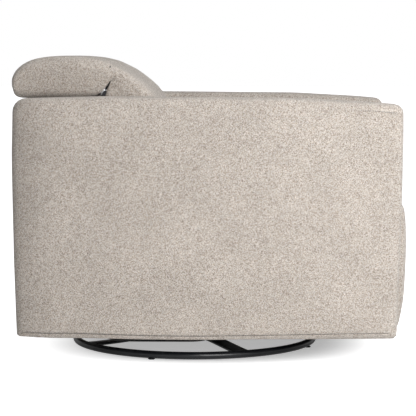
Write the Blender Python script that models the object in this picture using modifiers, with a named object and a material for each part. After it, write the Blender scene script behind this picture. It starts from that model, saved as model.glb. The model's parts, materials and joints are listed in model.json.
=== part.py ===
"""Swivel glider nursery chair: arms, reclining back, folding headrest, footrest and ring base.

Metres, +Z up, the sitter faces -Y. Right and left are the sitter's: right is -X.
"""

from math import atan2, cos, pi, radians, sin, sqrt, tan

import bmesh
import bpy
from mathutils import Matrix, Vector

# Overall sizes
WIDTH = 0.840
ARM_W = 0.140
ARM_FRONT = -0.468
ARM_REAR = 0.4685
ARM_BOTTOM = 0.070
ARM_TOP = 0.6526
ARM_TOP_DROP_FRONT = 0.013
ARM_TOP_DROP_REAR = 0.0066
ARM_FOOT_SETBACK = 0.0175
ARM_HEEL_SETBACK = 0.0105
ARM_SKIN = 0.020
ARM_ROUND = 0.016
ARM_PANEL_T = 0.018
# Gaps between pieces
GAP = 0.0004
SLIDE_GAP = 0.003
LAYER_GAP = 0.0025
# Base
SWIVEL_Y = 0.042
RING_R = 0.311
TUBE_R = 0.0095
PAD_T = 0.002
PAD_R = 0.014
SPOKE_W = 0.042
SPOKE_T = 0.006
SPOKE_TURN = 26.5
SPOKE_RISE = 0.010
HUB_R = 0.085
HUB_T = 0.008
RACE_R = 0.065
RACE_BORE = 0.030
RACE_T = 0.007
BOLT_R = 0.008
BOLT_HEAD_R = 0.013
BOLT_HEAD_T = 0.006
# Glide
TABLE_Y = 0.125
TABLE_T = 0.006
POST_T = 0.004
POST_HALF = 0.125
GLIDE_HALF = 0.105
GLIDE_TOP_Z = 0.235
LINK_LEN = 0.130
LINK_T = 0.004
LINK_R = 0.013
PIN_R = 0.005
PIN_GAP = 0.0005
RAIL_X = 0.200
RAIL_T = 0.004
RAIL_BOTTOM = 0.292
RAIL_TOP = 0.350
RAIL_FRONT = -0.391
RAIL_REAR = 0.225
# Seat
BEAM_H = 0.0445
BEAM_W = 0.040
SEAT_FRONT = -0.462
SEAT_REAR = 0.150
SEAT_THICK = 0.0966
SEAT_ROUND = 0.034
WEBBING_T = 0.002
# Back
HINGE_Y = 0.200
HINGE_Z = 0.300
HEEL_ANGLE = 20.0
SHELL_T = 0.025
BACK_TOP = 0.640
BOARD_T = 0.0245
BACK_FRONT_Y = 0.106
APRON_GAP = 0.0082
# Headrest
HEAD_HINGE_Y = 0.246
HEAD_HINGE_Z = 0.727
HEAD_TOP = 0.7516
HEAD_REAR = 0.4856
HEAD_BOTTOM = 0.648
HEAD_BOARD_T = 0.012
LEAF_W = 0.028
LEAF_T = 0.0025
# Footrest
FOOT_FACE = -0.4858
FOOT_TOP = 0.392
FOOT_BOTTOM = 0.066
FOOT_PAD_T = 0.0473
FOOT_BOARD_T = 0.0175
FOOT_PIVOT_Y = -0.375
FOOT_PIVOT_Z = 0.318
FOOT_LINK = 0.205
FOOT_TUBE_R = 0.008
# Underside cloth and release lever
CLOTH_T = 0.002
LEVER_Y = -0.240
LEVER_Z = 0.538
LEVER_L = 0.090
LEVER_H = 0.036

ARM_INNER = WIDTH / 2 - ARM_W
SEAT_HALF = ARM_INNER - SLIDE_GAP
RING_Z = PAD_T + GAP + TUBE_R
HUB_Z = RING_Z + SPOKE_RISE
RACE_Z = HUB_Z + HUB_T / 2 + GAP
RACE_UP_Z = RACE_Z + RACE_T + GAP
TABLE_Z = RACE_UP_Z + RACE_T + GAP
POST_X = RAIL_X - RAIL_T / 2 - LINK_T - 2 * LAYER_GAP - POST_T / 2
GLIDE_X = RAIL_X - RAIL_T / 2 - LAYER_GAP - LINK_T / 2
FOOT_X1 = RAIL_X + RAIL_T / 2 + LAYER_GAP + LINK_T / 2
FOOT_X2 = FOOT_X1 + LINK_T + LAYER_GAP
FOOT_X3 = FOOT_X2 + LINK_T + LAYER_GAP
GLIDE_LOW_Z = GLIDE_TOP_Z - LINK_LEN
BEAM_Z = RAIL_TOP + GAP
WEB_Z = BEAM_Z + BEAM_H + GAP
SEAT_BOTTOM = WEB_Z + WEBBING_T + 0.003
SEAT_TOP = SEAT_BOTTOM + SEAT_THICK
HEEL_R = ARM_REAR - HINGE_Y
SHELL_IN = HEEL_R - SHELL_T
BOARD_REAR = HINGE_Y + SHELL_IN - GAP
BOARD_FRONT = BOARD_REAR - BOARD_T
CUSHION_REAR = BOARD_FRONT - GAP
APRON_TOP = HINGE_Z - HEEL_R * sin(radians(HEEL_ANGLE)) - APRON_GAP
APRON_IN = HINGE_Y + sqrt(HEEL_R**2 - (HINGE_Z - APRON_TOP) ** 2) + 0.0013
CLOTH_Z = ARM_BOTTOM - GAP - CLOTH_T
SIDES = (("right", -1), ("left", 1))

PARTS = None
CUTTERS = None
MATERIALS = {}


def start():
    """Empties the scene and makes the two collections."""
    global PARTS, CUTTERS
    for item in list(bpy.data.objects):
        bpy.data.objects.remove(item, do_unlink=True)
    PARTS = bpy.data.collections.new("glider_nursery_chair")
    CUTTERS = bpy.data.collections.new("cutters")
    bpy.context.scene.collection.children.link(PARTS)
    bpy.context.scene.collection.children.link(CUTTERS)


def material(name, colour, roughness, metallic=0.0):
    """Principled material."""
    made = bpy.data.materials.new(name)
    made.use_nodes = True
    shader = made.node_tree.nodes["Principled BSDF"]
    shader.inputs["Base Color"].default_value = (*colour, 1.0)
    shader.inputs["Roughness"].default_value = roughness
    shader.inputs["Metallic"].default_value = metallic
    MATERIALS[name] = made


def make_materials():
    """One material for each finish of the chair."""
    material("tweed", (0.60, 0.53, 0.46), 0.95)
    material("black_steel", (0.012, 0.013, 0.016), 0.35, 0.6)
    material("zinc_steel", (0.55, 0.56, 0.58), 0.4, 1.0)
    material("plywood", (0.62, 0.46, 0.28), 0.7)
    material("beech", (0.66, 0.48, 0.30), 0.6)
    material("black_cloth", (0.015, 0.015, 0.016), 0.95)
    material("webbing", (0.32, 0.30, 0.27), 0.9)
    material("nylon", (0.03, 0.03, 0.03), 0.5)


def place(name, mesh, finish, where=(0, 0, 0), smooth=False):
    """Links a new object that carries the mesh and one finish."""
    made = bpy.data.objects.new(name, mesh)
    made.location = where
    PARTS.objects.link(made)
    mesh.materials.clear()
    mesh.materials.append(MATERIALS[finish])
    for face in mesh.polygons:
        face.use_smooth = smooth
    return made


def bevel(item, width, segments=4, angle=35):
    """Rounds the sharp edges of an object."""
    made = item.modifiers.new("round", "BEVEL")
    made.width = width
    made.segments = segments
    made.limit_method = "ANGLE"
    made.angle_limit = radians(angle)
    made.use_clamp_overlap = False


def boolean(item, other, operation):
    """Cuts with, or joins, a helper object that is kept among the cutters."""
    PARTS.objects.unlink(other)
    CUTTERS.objects.link(other)
    other.hide_render = True
    other.display_type = "WIRE"
    made = item.modifiers.new(operation.lower(), "BOOLEAN")
    made.operation = operation
    made.solver = "EXACT"
    made.object = other


def box(name, low, high, finish, origin=None):
    """Block between two corners, about its centre or a given origin."""
    low, high = Vector(low), Vector(high)
    middle = (low + high) / 2
    origin = middle if origin is None else Vector(origin)
    mesh = bpy.data.meshes.new(name)
    work = bmesh.new()
    turn = Matrix.Translation(middle - origin) @ Matrix.Diagonal((*(high - low), 1.0))
    bmesh.ops.create_cube(work, size=1.0, matrix=turn)
    work.to_mesh(mesh)
    work.free()
    return place(name, mesh, finish, origin)


def rod(name, radius, x0, x1, pivot, finish, sides=24):
    """Round bar along X through a pivot (y, z)."""
    mesh = bpy.data.meshes.new(name)
    work = bmesh.new()
    turn = Matrix.Translation(((x0 + x1) / 2, 0, 0)) @ Matrix.Rotation(pi / 2, 4, "Y")
    bmesh.ops.create_cone(
        work,
        cap_ends=True,
        segments=sides,
        radius1=radius,
        radius2=radius,
        depth=abs(x1 - x0),
        matrix=turn,
    )
    work.to_mesh(mesh)
    work.free()
    return place(name, mesh, finish, (0, *pivot), True)


def fillet(corners, steps=6):
    """Outline through corners (y, z, radius), each rounded by an arc."""
    outline = []
    count = len(corners)
    for i, (y, z, radius) in enumerate(corners):
        here = Vector((y, z))
        before = Vector(corners[i - 1][:2]) - here
        after = Vector(corners[(i + 1) % count][:2]) - here
        inner = before.angle(after)
        turn = pi - inner
        if radius <= 0 or turn < radians(0.5):
            outline.append(here)
            continue
        reach = min(radius * tan(turn / 2), 0.49 * before.length, 0.49 * after.length)
        radius = reach / tan(turn / 2)
        first = here + before.normalized() * reach
        last = here + after.normalized() * reach
        bisector = (before.normalized() + after.normalized()).normalized()
        centre = here + bisector * sqrt(radius**2 + reach**2)
        start_angle = atan2(first.y - centre.y, first.x - centre.x)
        sweep = atan2(last.y - centre.y, last.x - centre.x) - start_angle
        sweep = (sweep + pi) % (2 * pi) - pi
        number = max(2, min(steps, int(abs(sweep) / radians(7)) + 1))
        for k in range(number + 1):
            angle = start_angle + sweep * k / number
            outline.append(centre + Vector((cos(angle), sin(angle))) * radius)
    return outline


def circle(pivot, radius, sides=24):
    """Outline of a round hole at (y, z)."""
    turns = [2 * pi * k / sides for k in range(sides)]
    return [Vector((pivot[0] + radius * cos(a), pivot[1] + radius * sin(a))) for a in turns]


def slab(name, outline, x0, x1, finish, pivot=(0, 0), holes=(), smooth=False):
    """Extrudes a side outline (y, z) along X, with round holes through it."""
    curve = bpy.data.curves.new(name, "CURVE")
    curve.dimensions = "2D"
    curve.fill_mode = "BOTH"
    curve.extrude = abs(x1 - x0) / 2
    for points in (outline, *holes):
        spline = curve.splines.new("POLY")
        spline.points.add(len(points) - 1)
        for point, (y, z) in zip(spline.points, points):
            point.co = (y - pivot[0], z - pivot[1], 0, 1)
        spline.use_cyclic_u = True
    drawn = bpy.data.objects.new(name + "_outline", curve)
    PARTS.objects.link(drawn)
    drawn.matrix_world = Matrix(((0, 0, 1, 0), (1, 0, 0, 0), (0, 1, 0, 0), (0, 0, 0, 1)))
    bpy.context.view_layer.update()
    mesh = bpy.data.meshes.new_from_object(drawn.evaluated_get(bpy.context.evaluated_depsgraph_get()))
    work = bmesh.new()
    work.from_mesh(mesh)
    bmesh.ops.transform(work, matrix=drawn.matrix_world, verts=work.verts)
    bmesh.ops.translate(work, vec=((x0 + x1) / 2, 0, 0), verts=work.verts)
    bmesh.ops.remove_doubles(work, verts=work.verts, dist=1e-5)
    if not holes:
        bmesh.ops.dissolve_limit(work, angle_limit=radians(0.1), verts=work.verts, edges=work.edges)
    bmesh.ops.recalc_face_normals(work, faces=work.faces)
    work.to_mesh(mesh)
    work.free()
    bpy.data.objects.remove(drawn, do_unlink=True)
    bpy.data.curves.remove(curve)
    mesh.name = name
    return place(name, mesh, finish, (0, *pivot), smooth)


def lathe(name, profile, where, finish, steps=48, closed=False, smooth=True):
    """Turns a profile (radius, height) about a vertical axis."""
    mesh = bpy.data.meshes.new(name)
    work = bmesh.new()
    points = [work.verts.new((r, 0, z)) for r, z in profile]
    for first, second in zip(points, points[1:]):
        work.edges.new((first, second))
    if closed:
        work.edges.new((points[-1], points[0]))
    work.to_mesh(mesh)
    work.free()
    made = place(name, mesh, finish, where)
    turned = made.modifiers.new("turn", "SCREW")
    turned.steps = steps
    turned.render_steps = steps
    turned.use_merge_vertices = True
    turned.merge_threshold = 1e-5
    turned.use_smooth_shade = smooth
    return made


def disc(name, radius, z0, z1, where, finish, steps=32):
    """Solid round plate."""
    profile = ((0, z1), (radius, z1), (radius, z0), (0, z0))
    return lathe(name, profile, where, finish, steps, smooth=False)


def washer(name, outer, bore, z0, z1, where, finish, steps=40):
    """Round plate with a bore."""
    profile = ((bore, z1), (outer, z1), (outer, z0), (bore, z0))
    return lathe(name, profile, where, finish, steps, closed=True, smooth=False)


def link(name, x, ends, pins, finish, holes=()):
    """Flat link between two pivots with its own rivets, about its first pivot."""
    (y0, z0), (y1, z1) = ends
    along = atan2(z1 - z0, y1 - y0)
    outline = []
    for (y, z), start_angle in (((y1, z1), along - pi / 2), ((y0, z0), along + pi / 2)):
        for k in range(9):
            angle = start_angle + pi * k / 8
            outline.append(Vector((y + LINK_R * cos(angle), z + LINK_R * sin(angle))))
    bores = [circle(hole, PIN_R + PIN_GAP) for hole in holes]
    made = slab(name, outline, x - LINK_T / 2, x + LINK_T / 2, finish, ends[0], bores)
    for number, (pivot, x_end) in enumerate(pins):
        pin = rod(f"{name}_rivet_{number}", PIN_R, x, x_end, pivot, finish)
        boolean(made, pin, "UNION")
    return made


def base():
    """Fixed base: ring, cross, hub, bolt, lower race and floor pads."""
    centre = (0, SWIVEL_Y, 0)
    turns = [2 * pi * k / 12 for k in range(12)]
    tube = [(RING_R + TUBE_R * cos(a), RING_Z - TUBE_R * sin(a)) for a in turns]
    lathe("base_ring", tube, centre, "black_steel", 72, closed=True)
    disc("hub_plate", HUB_R, HUB_Z - HUB_T / 2, HUB_Z + HUB_T / 2, centre, "black_steel")
    washer("race_lower", RACE_R, RACE_BORE, RACE_Z, RACE_Z + RACE_T, centre, "zinc_steel")
    top = TABLE_Z + TABLE_T + GAP + BOLT_HEAD_T
    head = TABLE_Z + TABLE_T + GAP
    low = HUB_Z + HUB_T / 2 + GAP
    profile = ((0, top), (BOLT_HEAD_R, top), (BOLT_HEAD_R, head), (BOLT_R, head), (BOLT_R, low), (0, low))
    lathe("swivel_bolt", profile, centre, "zinc_steel", 24, smooth=False)
    for number in range(4):
        angle = radians(180 + SPOKE_TURN + 90 * number)
        spoke(number + 1, angle)
        foot = angle + radians(45)
        where = (RING_R * cos(foot), SWIVEL_Y + RING_R * sin(foot), 0)
        disc(f"floor_pad_{number + 1}", PAD_R, 0, PAD_T, where, "nylon", 20)


def spoke(number, angle):
    """One flat bar of the cross, rising from the ring to the hub."""
    inner = HUB_R + 0.0015
    outer = RING_R - TUBE_R - 0.0012
    lift = atan2(SPOKE_RISE, outer - inner)
    length = (outer - inner) / cos(lift)
    made = box(
        f"spoke_{number}",
        (-length / 2, -SPOKE_W / 2, -SPOKE_T / 2),
        (length / 2, SPOKE_W / 2, SPOKE_T / 2),
        "black_steel",
    )
    middle = (inner + outer) / 2
    made.location = (middle * cos(angle), SWIVEL_Y + middle * sin(angle), RING_Z + SPOKE_RISE / 2)
    made.rotation_euler = (0, lift, angle)


def turntable():
    """Turning part: upper race, plate and the two glide posts."""
    centre = (0, SWIVEL_Y, 0)
    washer("race_upper", RACE_R, RACE_BORE, RACE_UP_Z, RACE_UP_Z + RACE_T, centre, "zinc_steel")
    half = POST_X + POST_T / 2
    plate = box(
        "turntable_plate",
        (-half, SWIVEL_Y - TABLE_Y, TABLE_Z),
        (half, SWIVEL_Y + TABLE_Y, TABLE_Z + TABLE_T),
        "black_steel",
        centre,
    )
    bore = disc("plate_bore", BOLT_R + GAP, TABLE_Z - 0.01, TABLE_Z + TABLE_T + 0.01, centre, "black_steel")
    boolean(plate, bore, "DIFFERENCE")
    bottom = TABLE_Z + TABLE_T + GAP
    top = GLIDE_TOP_Z + LINK_R
    outline = (
        (SWIVEL_Y - TABLE_Y, bottom),
        (SWIVEL_Y + TABLE_Y, bottom),
        (SWIVEL_Y + POST_HALF, top),
        (SWIVEL_Y - POST_HALF, top),
    )
    for side, sign in SIDES:
        x = sign * POST_X
        bores = [circle((glide_y(end), GLIDE_TOP_Z), PIN_R + PIN_GAP) for end in (-1, 1)]
        ends = (x - POST_T / 2, x + POST_T / 2)
        slab(f"glide_post_{side}", outline, *ends, "black_steel", (SWIVEL_Y, 0), bores)


def glide_y(end):
    """Y of the front (-1) or rear (1) glide pivots."""
    return SWIVEL_Y + end * GLIDE_HALF


def glide_links():
    """Four hanging links that carry the seat."""
    for end, word in ((-1, "front"), (1, "rear")):
        top = (glide_y(end), GLIDE_TOP_Z)
        low = (glide_y(end), GLIDE_LOW_Z)
        for side, sign in SIDES:
            inward = sign * (POST_X - POST_T / 2)
            outward = sign * (RAIL_X + RAIL_T / 2)
            pins = ((top, inward), (low, outward))
            link(f"glide_link_{word}_{side}", sign * GLIDE_X, (top, low), pins, "zinc_steel")


def carriage():
    """Side rails and crossbars of the seat."""
    ear = LINK_R + 0.006
    low = GLIDE_LOW_Z - LINK_R
    front, rear = glide_y(-1), glide_y(1)
    outline = (
        (RAIL_FRONT, RAIL_BOTTOM),
        (front - ear - 0.03, RAIL_BOTTOM),
        (front - ear, low),
        (rear + ear, low),
        (rear + ear + 0.03, RAIL_BOTTOM - 0.008),
        (RAIL_REAR, RAIL_BOTTOM - 0.008),
        (RAIL_REAR, RAIL_TOP),
        (RAIL_FRONT, RAIL_TOP),
    )
    for side, sign in SIDES:
        bores = [circle((glide_y(end), GLIDE_LOW_Z), PIN_R + PIN_GAP) for end in (-1, 1)]
        bores.append(circle((HINGE_Y, HINGE_Z), PIN_R + PIN_GAP))
        bores.append(circle((FOOT_PIVOT_Y, FOOT_PIVOT_Z), FOOT_TUBE_R + PIN_GAP))
        x = sign * RAIL_X
        slab(f"side_rail_{side}", outline, x - RAIL_T / 2, x + RAIL_T / 2, "black_steel", holes=bores)
    half = RAIL_X - RAIL_T / 2 - GAP
    box("crossbar_front", (-half, -0.300, 0.300), (half, -0.270, 0.330), "black_steel")
    box("crossbar_rear", (-half, 0.160, 0.300), (half, 0.186, 0.330), "black_steel")


def seat():
    """Wooden seat beams, webbing and the seat cushion."""
    half = SEAT_HALF - 0.0015
    front, rear = -0.410, 0.189
    top = BEAM_Z + BEAM_H
    box("seat_beam_front", (-half, front, BEAM_Z), (half, front + BEAM_W, top), "beech")
    box("seat_beam_rear", (-half, rear - BEAM_W, BEAM_Z), (half, rear, top), "beech")
    for side, sign in SIDES:
        low = min(sign * half, sign * (half - BEAM_W))
        box(
            f"seat_beam_{side}",
            (low, front + BEAM_W + GAP, BEAM_Z),
            (low + BEAM_W, rear - BEAM_W - GAP, top),
            "beech",
        )
    box("seat_webbing", (-half, front, WEB_Z), (half, rear - 0.045, WEB_Z + WEBBING_T), "webbing")
    outline = fillet(
        (
            (SEAT_FRONT, SEAT_BOTTOM, 0.024),
            (SEAT_REAR, SEAT_BOTTOM, 0.012),
            (SEAT_REAR, SEAT_TOP - 0.006, 0.012),
            (-0.15, SEAT_TOP, 0.5),
            (SEAT_FRONT, SEAT_TOP - 0.008, SEAT_ROUND),
        )
    )
    cushion = slab("seat_cushion", outline, -SEAT_HALF, SEAT_HALF, "tweed", smooth=True)
    bevel(cushion, 0.010, 3)


def arms():
    """Upholstered arms over plywood panels."""
    outline = fillet(
        (
            (ARM_FRONT + ARM_FOOT_SETBACK, ARM_BOTTOM, 0.018),
            (ARM_REAR - ARM_HEEL_SETBACK, ARM_BOTTOM, 0.018),
            (ARM_REAR - 0.002, 0.36, 0.6),
            (ARM_REAR, 0.56, 0.6),
            (ARM_REAR - 0.0025, ARM_TOP - ARM_TOP_DROP_REAR, 0.032),
            (0.25, ARM_TOP, 1.0),
            (-0.16, ARM_TOP - 0.003, 1.0),
            (ARM_FRONT + 0.003, ARM_TOP - ARM_TOP_DROP_FRONT, 0.026),
            (ARM_FRONT, 0.55, 0.5),
            (ARM_FRONT + 0.002, 0.42, 0.5),
        )
    )
    for side, sign in SIDES:
        low, high = sorted((sign * ARM_INNER, sign * WIDTH / 2))
        cover = slab(f"arm_cover_{side}", outline, low, high, "tweed", smooth=True)
        bevel(cover, ARM_ROUND, 4)
        hollow = box(
            f"arm_hollow_{side}",
            (low + ARM_SKIN, ARM_FRONT + 0.040, 0.0),
            (high - ARM_SKIN, ARM_REAR - 0.034, ARM_TOP - 0.030),
            "tweed",
        )
        boolean(cover, hollow, "DIFFERENCE")
        x = sign * (ARM_INNER + ARM_W / 2)
        box(
            f"arm_panel_{side}",
            (x - ARM_PANEL_T / 2, ARM_FRONT + 0.044, ARM_BOTTOM + 0.004),
            (x + ARM_PANEL_T / 2, ARM_REAR - 0.038, ARM_TOP - 0.034),
            "plywood",
        )
        inner = FOOT_X3 + 0.004
        low, high = sorted((sign * inner, sign * (WIDTH / 2 - 0.012)))
        box(
            f"dust_cover_{side}",
            (low, -0.430, CLOTH_Z),
            (high, 0.440, CLOTH_Z + CLOTH_T),
            "black_cloth",
        )


def apron():
    """Upholstered panel across the lower rear."""
    outline = fillet(
        (
            (APRON_IN, ARM_BOTTOM, 0.004),
            (ARM_REAR - 0.006, ARM_BOTTOM, 0.008),
            (ARM_REAR, 0.14, 0.3),
            (ARM_REAR, APRON_TOP, 0.008),
            (APRON_IN, APRON_TOP, 0.004),
        )
    )
    half = SEAT_HALF + 0.001
    slab("rear_apron", outline, -half, half, "tweed", smooth=True)


def release():
    """Release lever in its bezel on the inner face of the right arm."""
    face = -ARM_INNER + GAP
    low = (face, LEVER_Y - LEVER_L / 2 - 0.006, LEVER_Z - LEVER_H / 2 - 0.006)
    high = (face + 0.004, LEVER_Y + LEVER_L / 2 + 0.006, LEVER_Z + LEVER_H / 2 + 0.006)
    box("release_bezel", low, high, "nylon")
    axis = (face + 0.0075, LEVER_Y, LEVER_Z + LEVER_H / 2 - 0.001)
    lever = box(
        "release_lever",
        (axis[0] - 0.0028, LEVER_Y - LEVER_L / 2, LEVER_Z - LEVER_H / 2),
        (axis[0] + 0.0028, LEVER_Y + LEVER_L / 2, LEVER_Z + LEVER_H / 2),
        "nylon",
        axis,
    )
    bevel(lever, 0.0015, 2)


def back():
    """Reclining back about its hinge: arms, board, shell and front cushion."""
    hinge = (HINGE_Y, HINGE_Z)
    heel = [
        Vector((HINGE_Y + HEEL_R * cos(a), HINGE_Z + HEEL_R * sin(a)))
        for a in (-radians(HEEL_ANGLE) * k / 5 for k in range(6))
    ]
    inner = [
        Vector((HINGE_Y + SHELL_IN * cos(a), HINGE_Z + SHELL_IN * sin(a)))
        for a in (-radians(HEEL_ANGLE) * k / 5 for k in range(6))
    ]
    corners = ((ARM_REAR, BACK_TOP, 0.008), (ARM_REAR - SHELL_T, BACK_TOP, 0.006))
    crown = fillet((*corners, (ARM_REAR - SHELL_T / 2, HINGE_Z, 0)))[:-1]
    outline = inner + heel[::-1] + crown
    slab("back_shell", outline, -SEAT_HALF, SEAT_HALF, "tweed", hinge, smooth=True)
    half = SEAT_HALF - 0.012
    box(
        "back_board",
        (-half, BOARD_FRONT, HINGE_Z),
        (half, BOARD_REAR, BACK_TOP - 0.012),
        "plywood",
        (0, *hinge),
    )
    plate = (
        (HINGE_Y - 0.014, HINGE_Z - 0.012),
        (HINGE_Y + 0.02, HINGE_Z - 0.016),
        (CUSHION_REAR - GAP, HINGE_Z + 0.004),
        (CUSHION_REAR - GAP, HINGE_Z + 0.085),
        (HINGE_Y + 0.02, HINGE_Z + 0.030),
        (HINGE_Y - 0.014, HINGE_Z + 0.014),
    )
    for side, sign in SIDES:
        x = sign * FOOT_X1
        arm = slab(f"back_arm_{side}", plate, x - LINK_T / 2, x + LINK_T / 2, "black_steel", hinge)
        pin = rod(
            f"back_arm_{side}_rivet", PIN_R, x, sign * (RAIL_X - RAIL_T / 2 + 0.0005), hinge, "black_steel"
        )
        boolean(arm, pin, "UNION")
    outline = fillet(
        (
            (HEAD_HINGE_Y - 0.0065, HEAD_TOP - 0.0206, 0.008),
            (0.176, HEAD_TOP - 0.0556, 0.12),
            (BACK_FRONT_Y - 0.002, 0.625, 0.09),
            (BACK_FRONT_Y - 0.002, 0.565, 0.10),
            (0.120, SEAT_TOP + 0.010, 0.02),
            (SEAT_REAR + 0.007, SEAT_TOP + 0.004, 0.02),
            (SEAT_REAR + 0.007, 0.432, 0.012),
            (CUSHION_REAR, 0.400, 0.010),
            (CUSHION_REAR, BACK_TOP - 0.002, 0.010),
            (HEAD_HINGE_Y + 0.020, BACK_TOP + 0.001, 0.008),
            (HEAD_HINGE_Y - 0.0065, 0.690, 0.02),
        )
    )
    half = SEAT_HALF - 0.002
    cushion = slab("back_cushion", outline, -half, half, "tweed", hinge, smooth=True)
    bevel(cushion, 0.004, 2)


def leaf(name, x, points, finish, pivot):
    """Bent hinge leaf of even thickness along a line of (y, z) points."""
    line = [Vector(p) for p in points]
    sides = ([], [])
    for i, point in enumerate(line):
        before = (point - line[i - 1]).normalized() if i else None
        after = (line[i + 1] - point).normalized() if i + 1 < len(line) else before
        before = before or after
        along = (before + after).normalized()
        reach = LEAF_T / 2 / max(along.dot(after), 0.5)
        normal = Vector((along.y, -along.x)) * reach
        sides[0].append(point + normal)
        sides[1].append(point - normal)
    return slab(name, sides[0] + sides[1][::-1], x - LEAF_W / 2, x + LEAF_W / 2, finish, pivot)


def headrest():
    """Headrest folded back over the back, with its board and ratchet leaves."""
    pivot = (HEAD_HINGE_Y, HEAD_HINGE_Z)
    nose = HEAD_HINGE_Y + 0.0075
    outline = fillet(
        (
            (nose, HEAD_TOP - 0.0148, 0.008),
            (0.300, HEAD_TOP - 0.0020, 0.12),
            (0.345, HEAD_TOP + 0.0006, 0.3),
            (HEAD_REAR, HEAD_TOP, 0.072),
            (HEAD_REAR, HEAD_BOTTOM, 0.028),
            (nose + 0.018, HEAD_BOTTOM, 0.010),
            (nose, 0.692, 0.02),
        )
    )
    half = SEAT_HALF - 0.002
    cushion = slab("headrest_cushion", outline, -half, half, "tweed", pivot, smooth=True)
    bevel(cushion, 0.004, 2)
    pocket = box(
        "headrest_pocket",
        (-0.222, nose + 0.045, HEAD_BOTTOM - 0.02),
        (0.222, HEAD_REAR - 0.040, HEAD_BOTTOM + HEAD_BOARD_T + 0.003),
        "tweed",
    )
    boolean(cushion, pocket, "DIFFERENCE")
    box(
        "headrest_board",
        (-0.220, nose + 0.047, HEAD_BOTTOM + 0.001),
        (0.220, HEAD_REAR - 0.042, HEAD_BOTTOM + 0.001 + HEAD_BOARD_T),
        "plywood",
        (0, *pivot),
    )
    for side, sign in SIDES:
        x = sign * (SEAT_HALF - LEAF_W / 2 - 0.012)
        y, z = pivot
        fold = BACK_TOP + 0.0525
        lower = (
            (y - 0.0035, z),
            (y - 0.0035, fold),
            (y + 0.0228, BACK_TOP + 0.0045),
            (y + 0.0390, BACK_TOP + 0.0035),
        )
        upper = ((y + 0.0054, z - 0.002), (y + 0.0054, fold), (y + 0.0195, BACK_TOP + 0.0175))
        leaf(f"ratchet_lower_{side}", x, lower, "black_steel", (HINGE_Y, HINGE_Z))
        leaf(f"ratchet_upper_{side}", x, upper, "black_steel", pivot)


def footrest():
    """Footrest scissor: tube, links, brackets, board and front pad."""
    pivot = (FOOT_PIVOT_Y, FOOT_PIVOT_Z)
    low = (FOOT_PIVOT_Y, FOOT_PIVOT_Z - FOOT_LINK)
    half = FOOT_X1 - LINK_T / 2 - GAP
    rod("foot_tube", FOOT_TUBE_R, -half, half, pivot, "zinc_steel")
    for side, sign in SIDES:
        link(f"foot_link_upper_{side}", sign * FOOT_X1, (pivot, low), (), "zinc_steel", (low,))
        inner = FOOT_X1 - LINK_T / 2
        link(
            f"foot_link_lower_{side}",
            sign * FOOT_X2,
            (low, pivot),
            ((low, sign * inner),),
            "zinc_steel",
            (pivot,),
        )
        x = sign * FOOT_X3
        rear = FOOT_FACE + FOOT_PAD_T + GAP + FOOT_BOARD_T + GAP
        outline = (
            (rear, FOOT_PIVOT_Z - 0.060),
            (FOOT_PIVOT_Y, FOOT_PIVOT_Z - 0.012),
            (FOOT_PIVOT_Y + 0.012, FOOT_PIVOT_Z),
            (FOOT_PIVOT_Y, FOOT_PIVOT_Z + 0.012),
            (rear, FOOT_PIVOT_Z + 0.018),
        )
        bracket = slab(f"foot_bracket_{side}", outline, x - LINK_T / 2, x + LINK_T / 2, "zinc_steel", pivot)
        pin = rod(
            f"foot_bracket_{side}_rivet", PIN_R, x, sign * (FOOT_X2 - LINK_T / 2), pivot, "zinc_steel"
        )
        boolean(bracket, pin, "UNION")
    board_y = FOOT_FACE + FOOT_PAD_T + GAP
    box(
        "footrest_board",
        (-SEAT_HALF + 0.012, board_y, FOOT_BOTTOM + 0.019),
        (SEAT_HALF - 0.012, board_y + FOOT_BOARD_T, FOOT_TOP - 0.014),
        "plywood",
        (0, *pivot),
    )
    outline = fillet(
        (
            (FOOT_FACE + FOOT_PAD_T, FOOT_BOTTOM, 0.012),
            (FOOT_FACE + 0.018, FOOT_BOTTOM, 0.014),
            (FOOT_FACE, 0.200, 0.8),
            (FOOT_FACE, 0.345, 0.3),
            (FOOT_FACE + 0.007, FOOT_TOP, 0.016),
            (FOOT_FACE + FOOT_PAD_T, FOOT_TOP, 0.012),
        )
    )
    pad = slab("footrest_pad", outline, -SEAT_HALF, SEAT_HALF, "tweed", pivot, smooth=True)
    bevel(pad, 0.004, 2)


def main():
    """Builds the chair."""
    start()
    make_materials()
    base()
    turntable()
    glide_links()
    carriage()
    seat()
    arms()
    apron()
    release()
    back()
    headrest()
    footrest()


main()
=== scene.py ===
"""Swivel glider nursery chair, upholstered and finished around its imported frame."""

import json
import logging
import math
from dataclasses import dataclass
from enum import Enum
from typing import Callable, Optional, Sequence

import bmesh
import bpy
import numpy as np
from mathutils import Matrix, Vector


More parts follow.
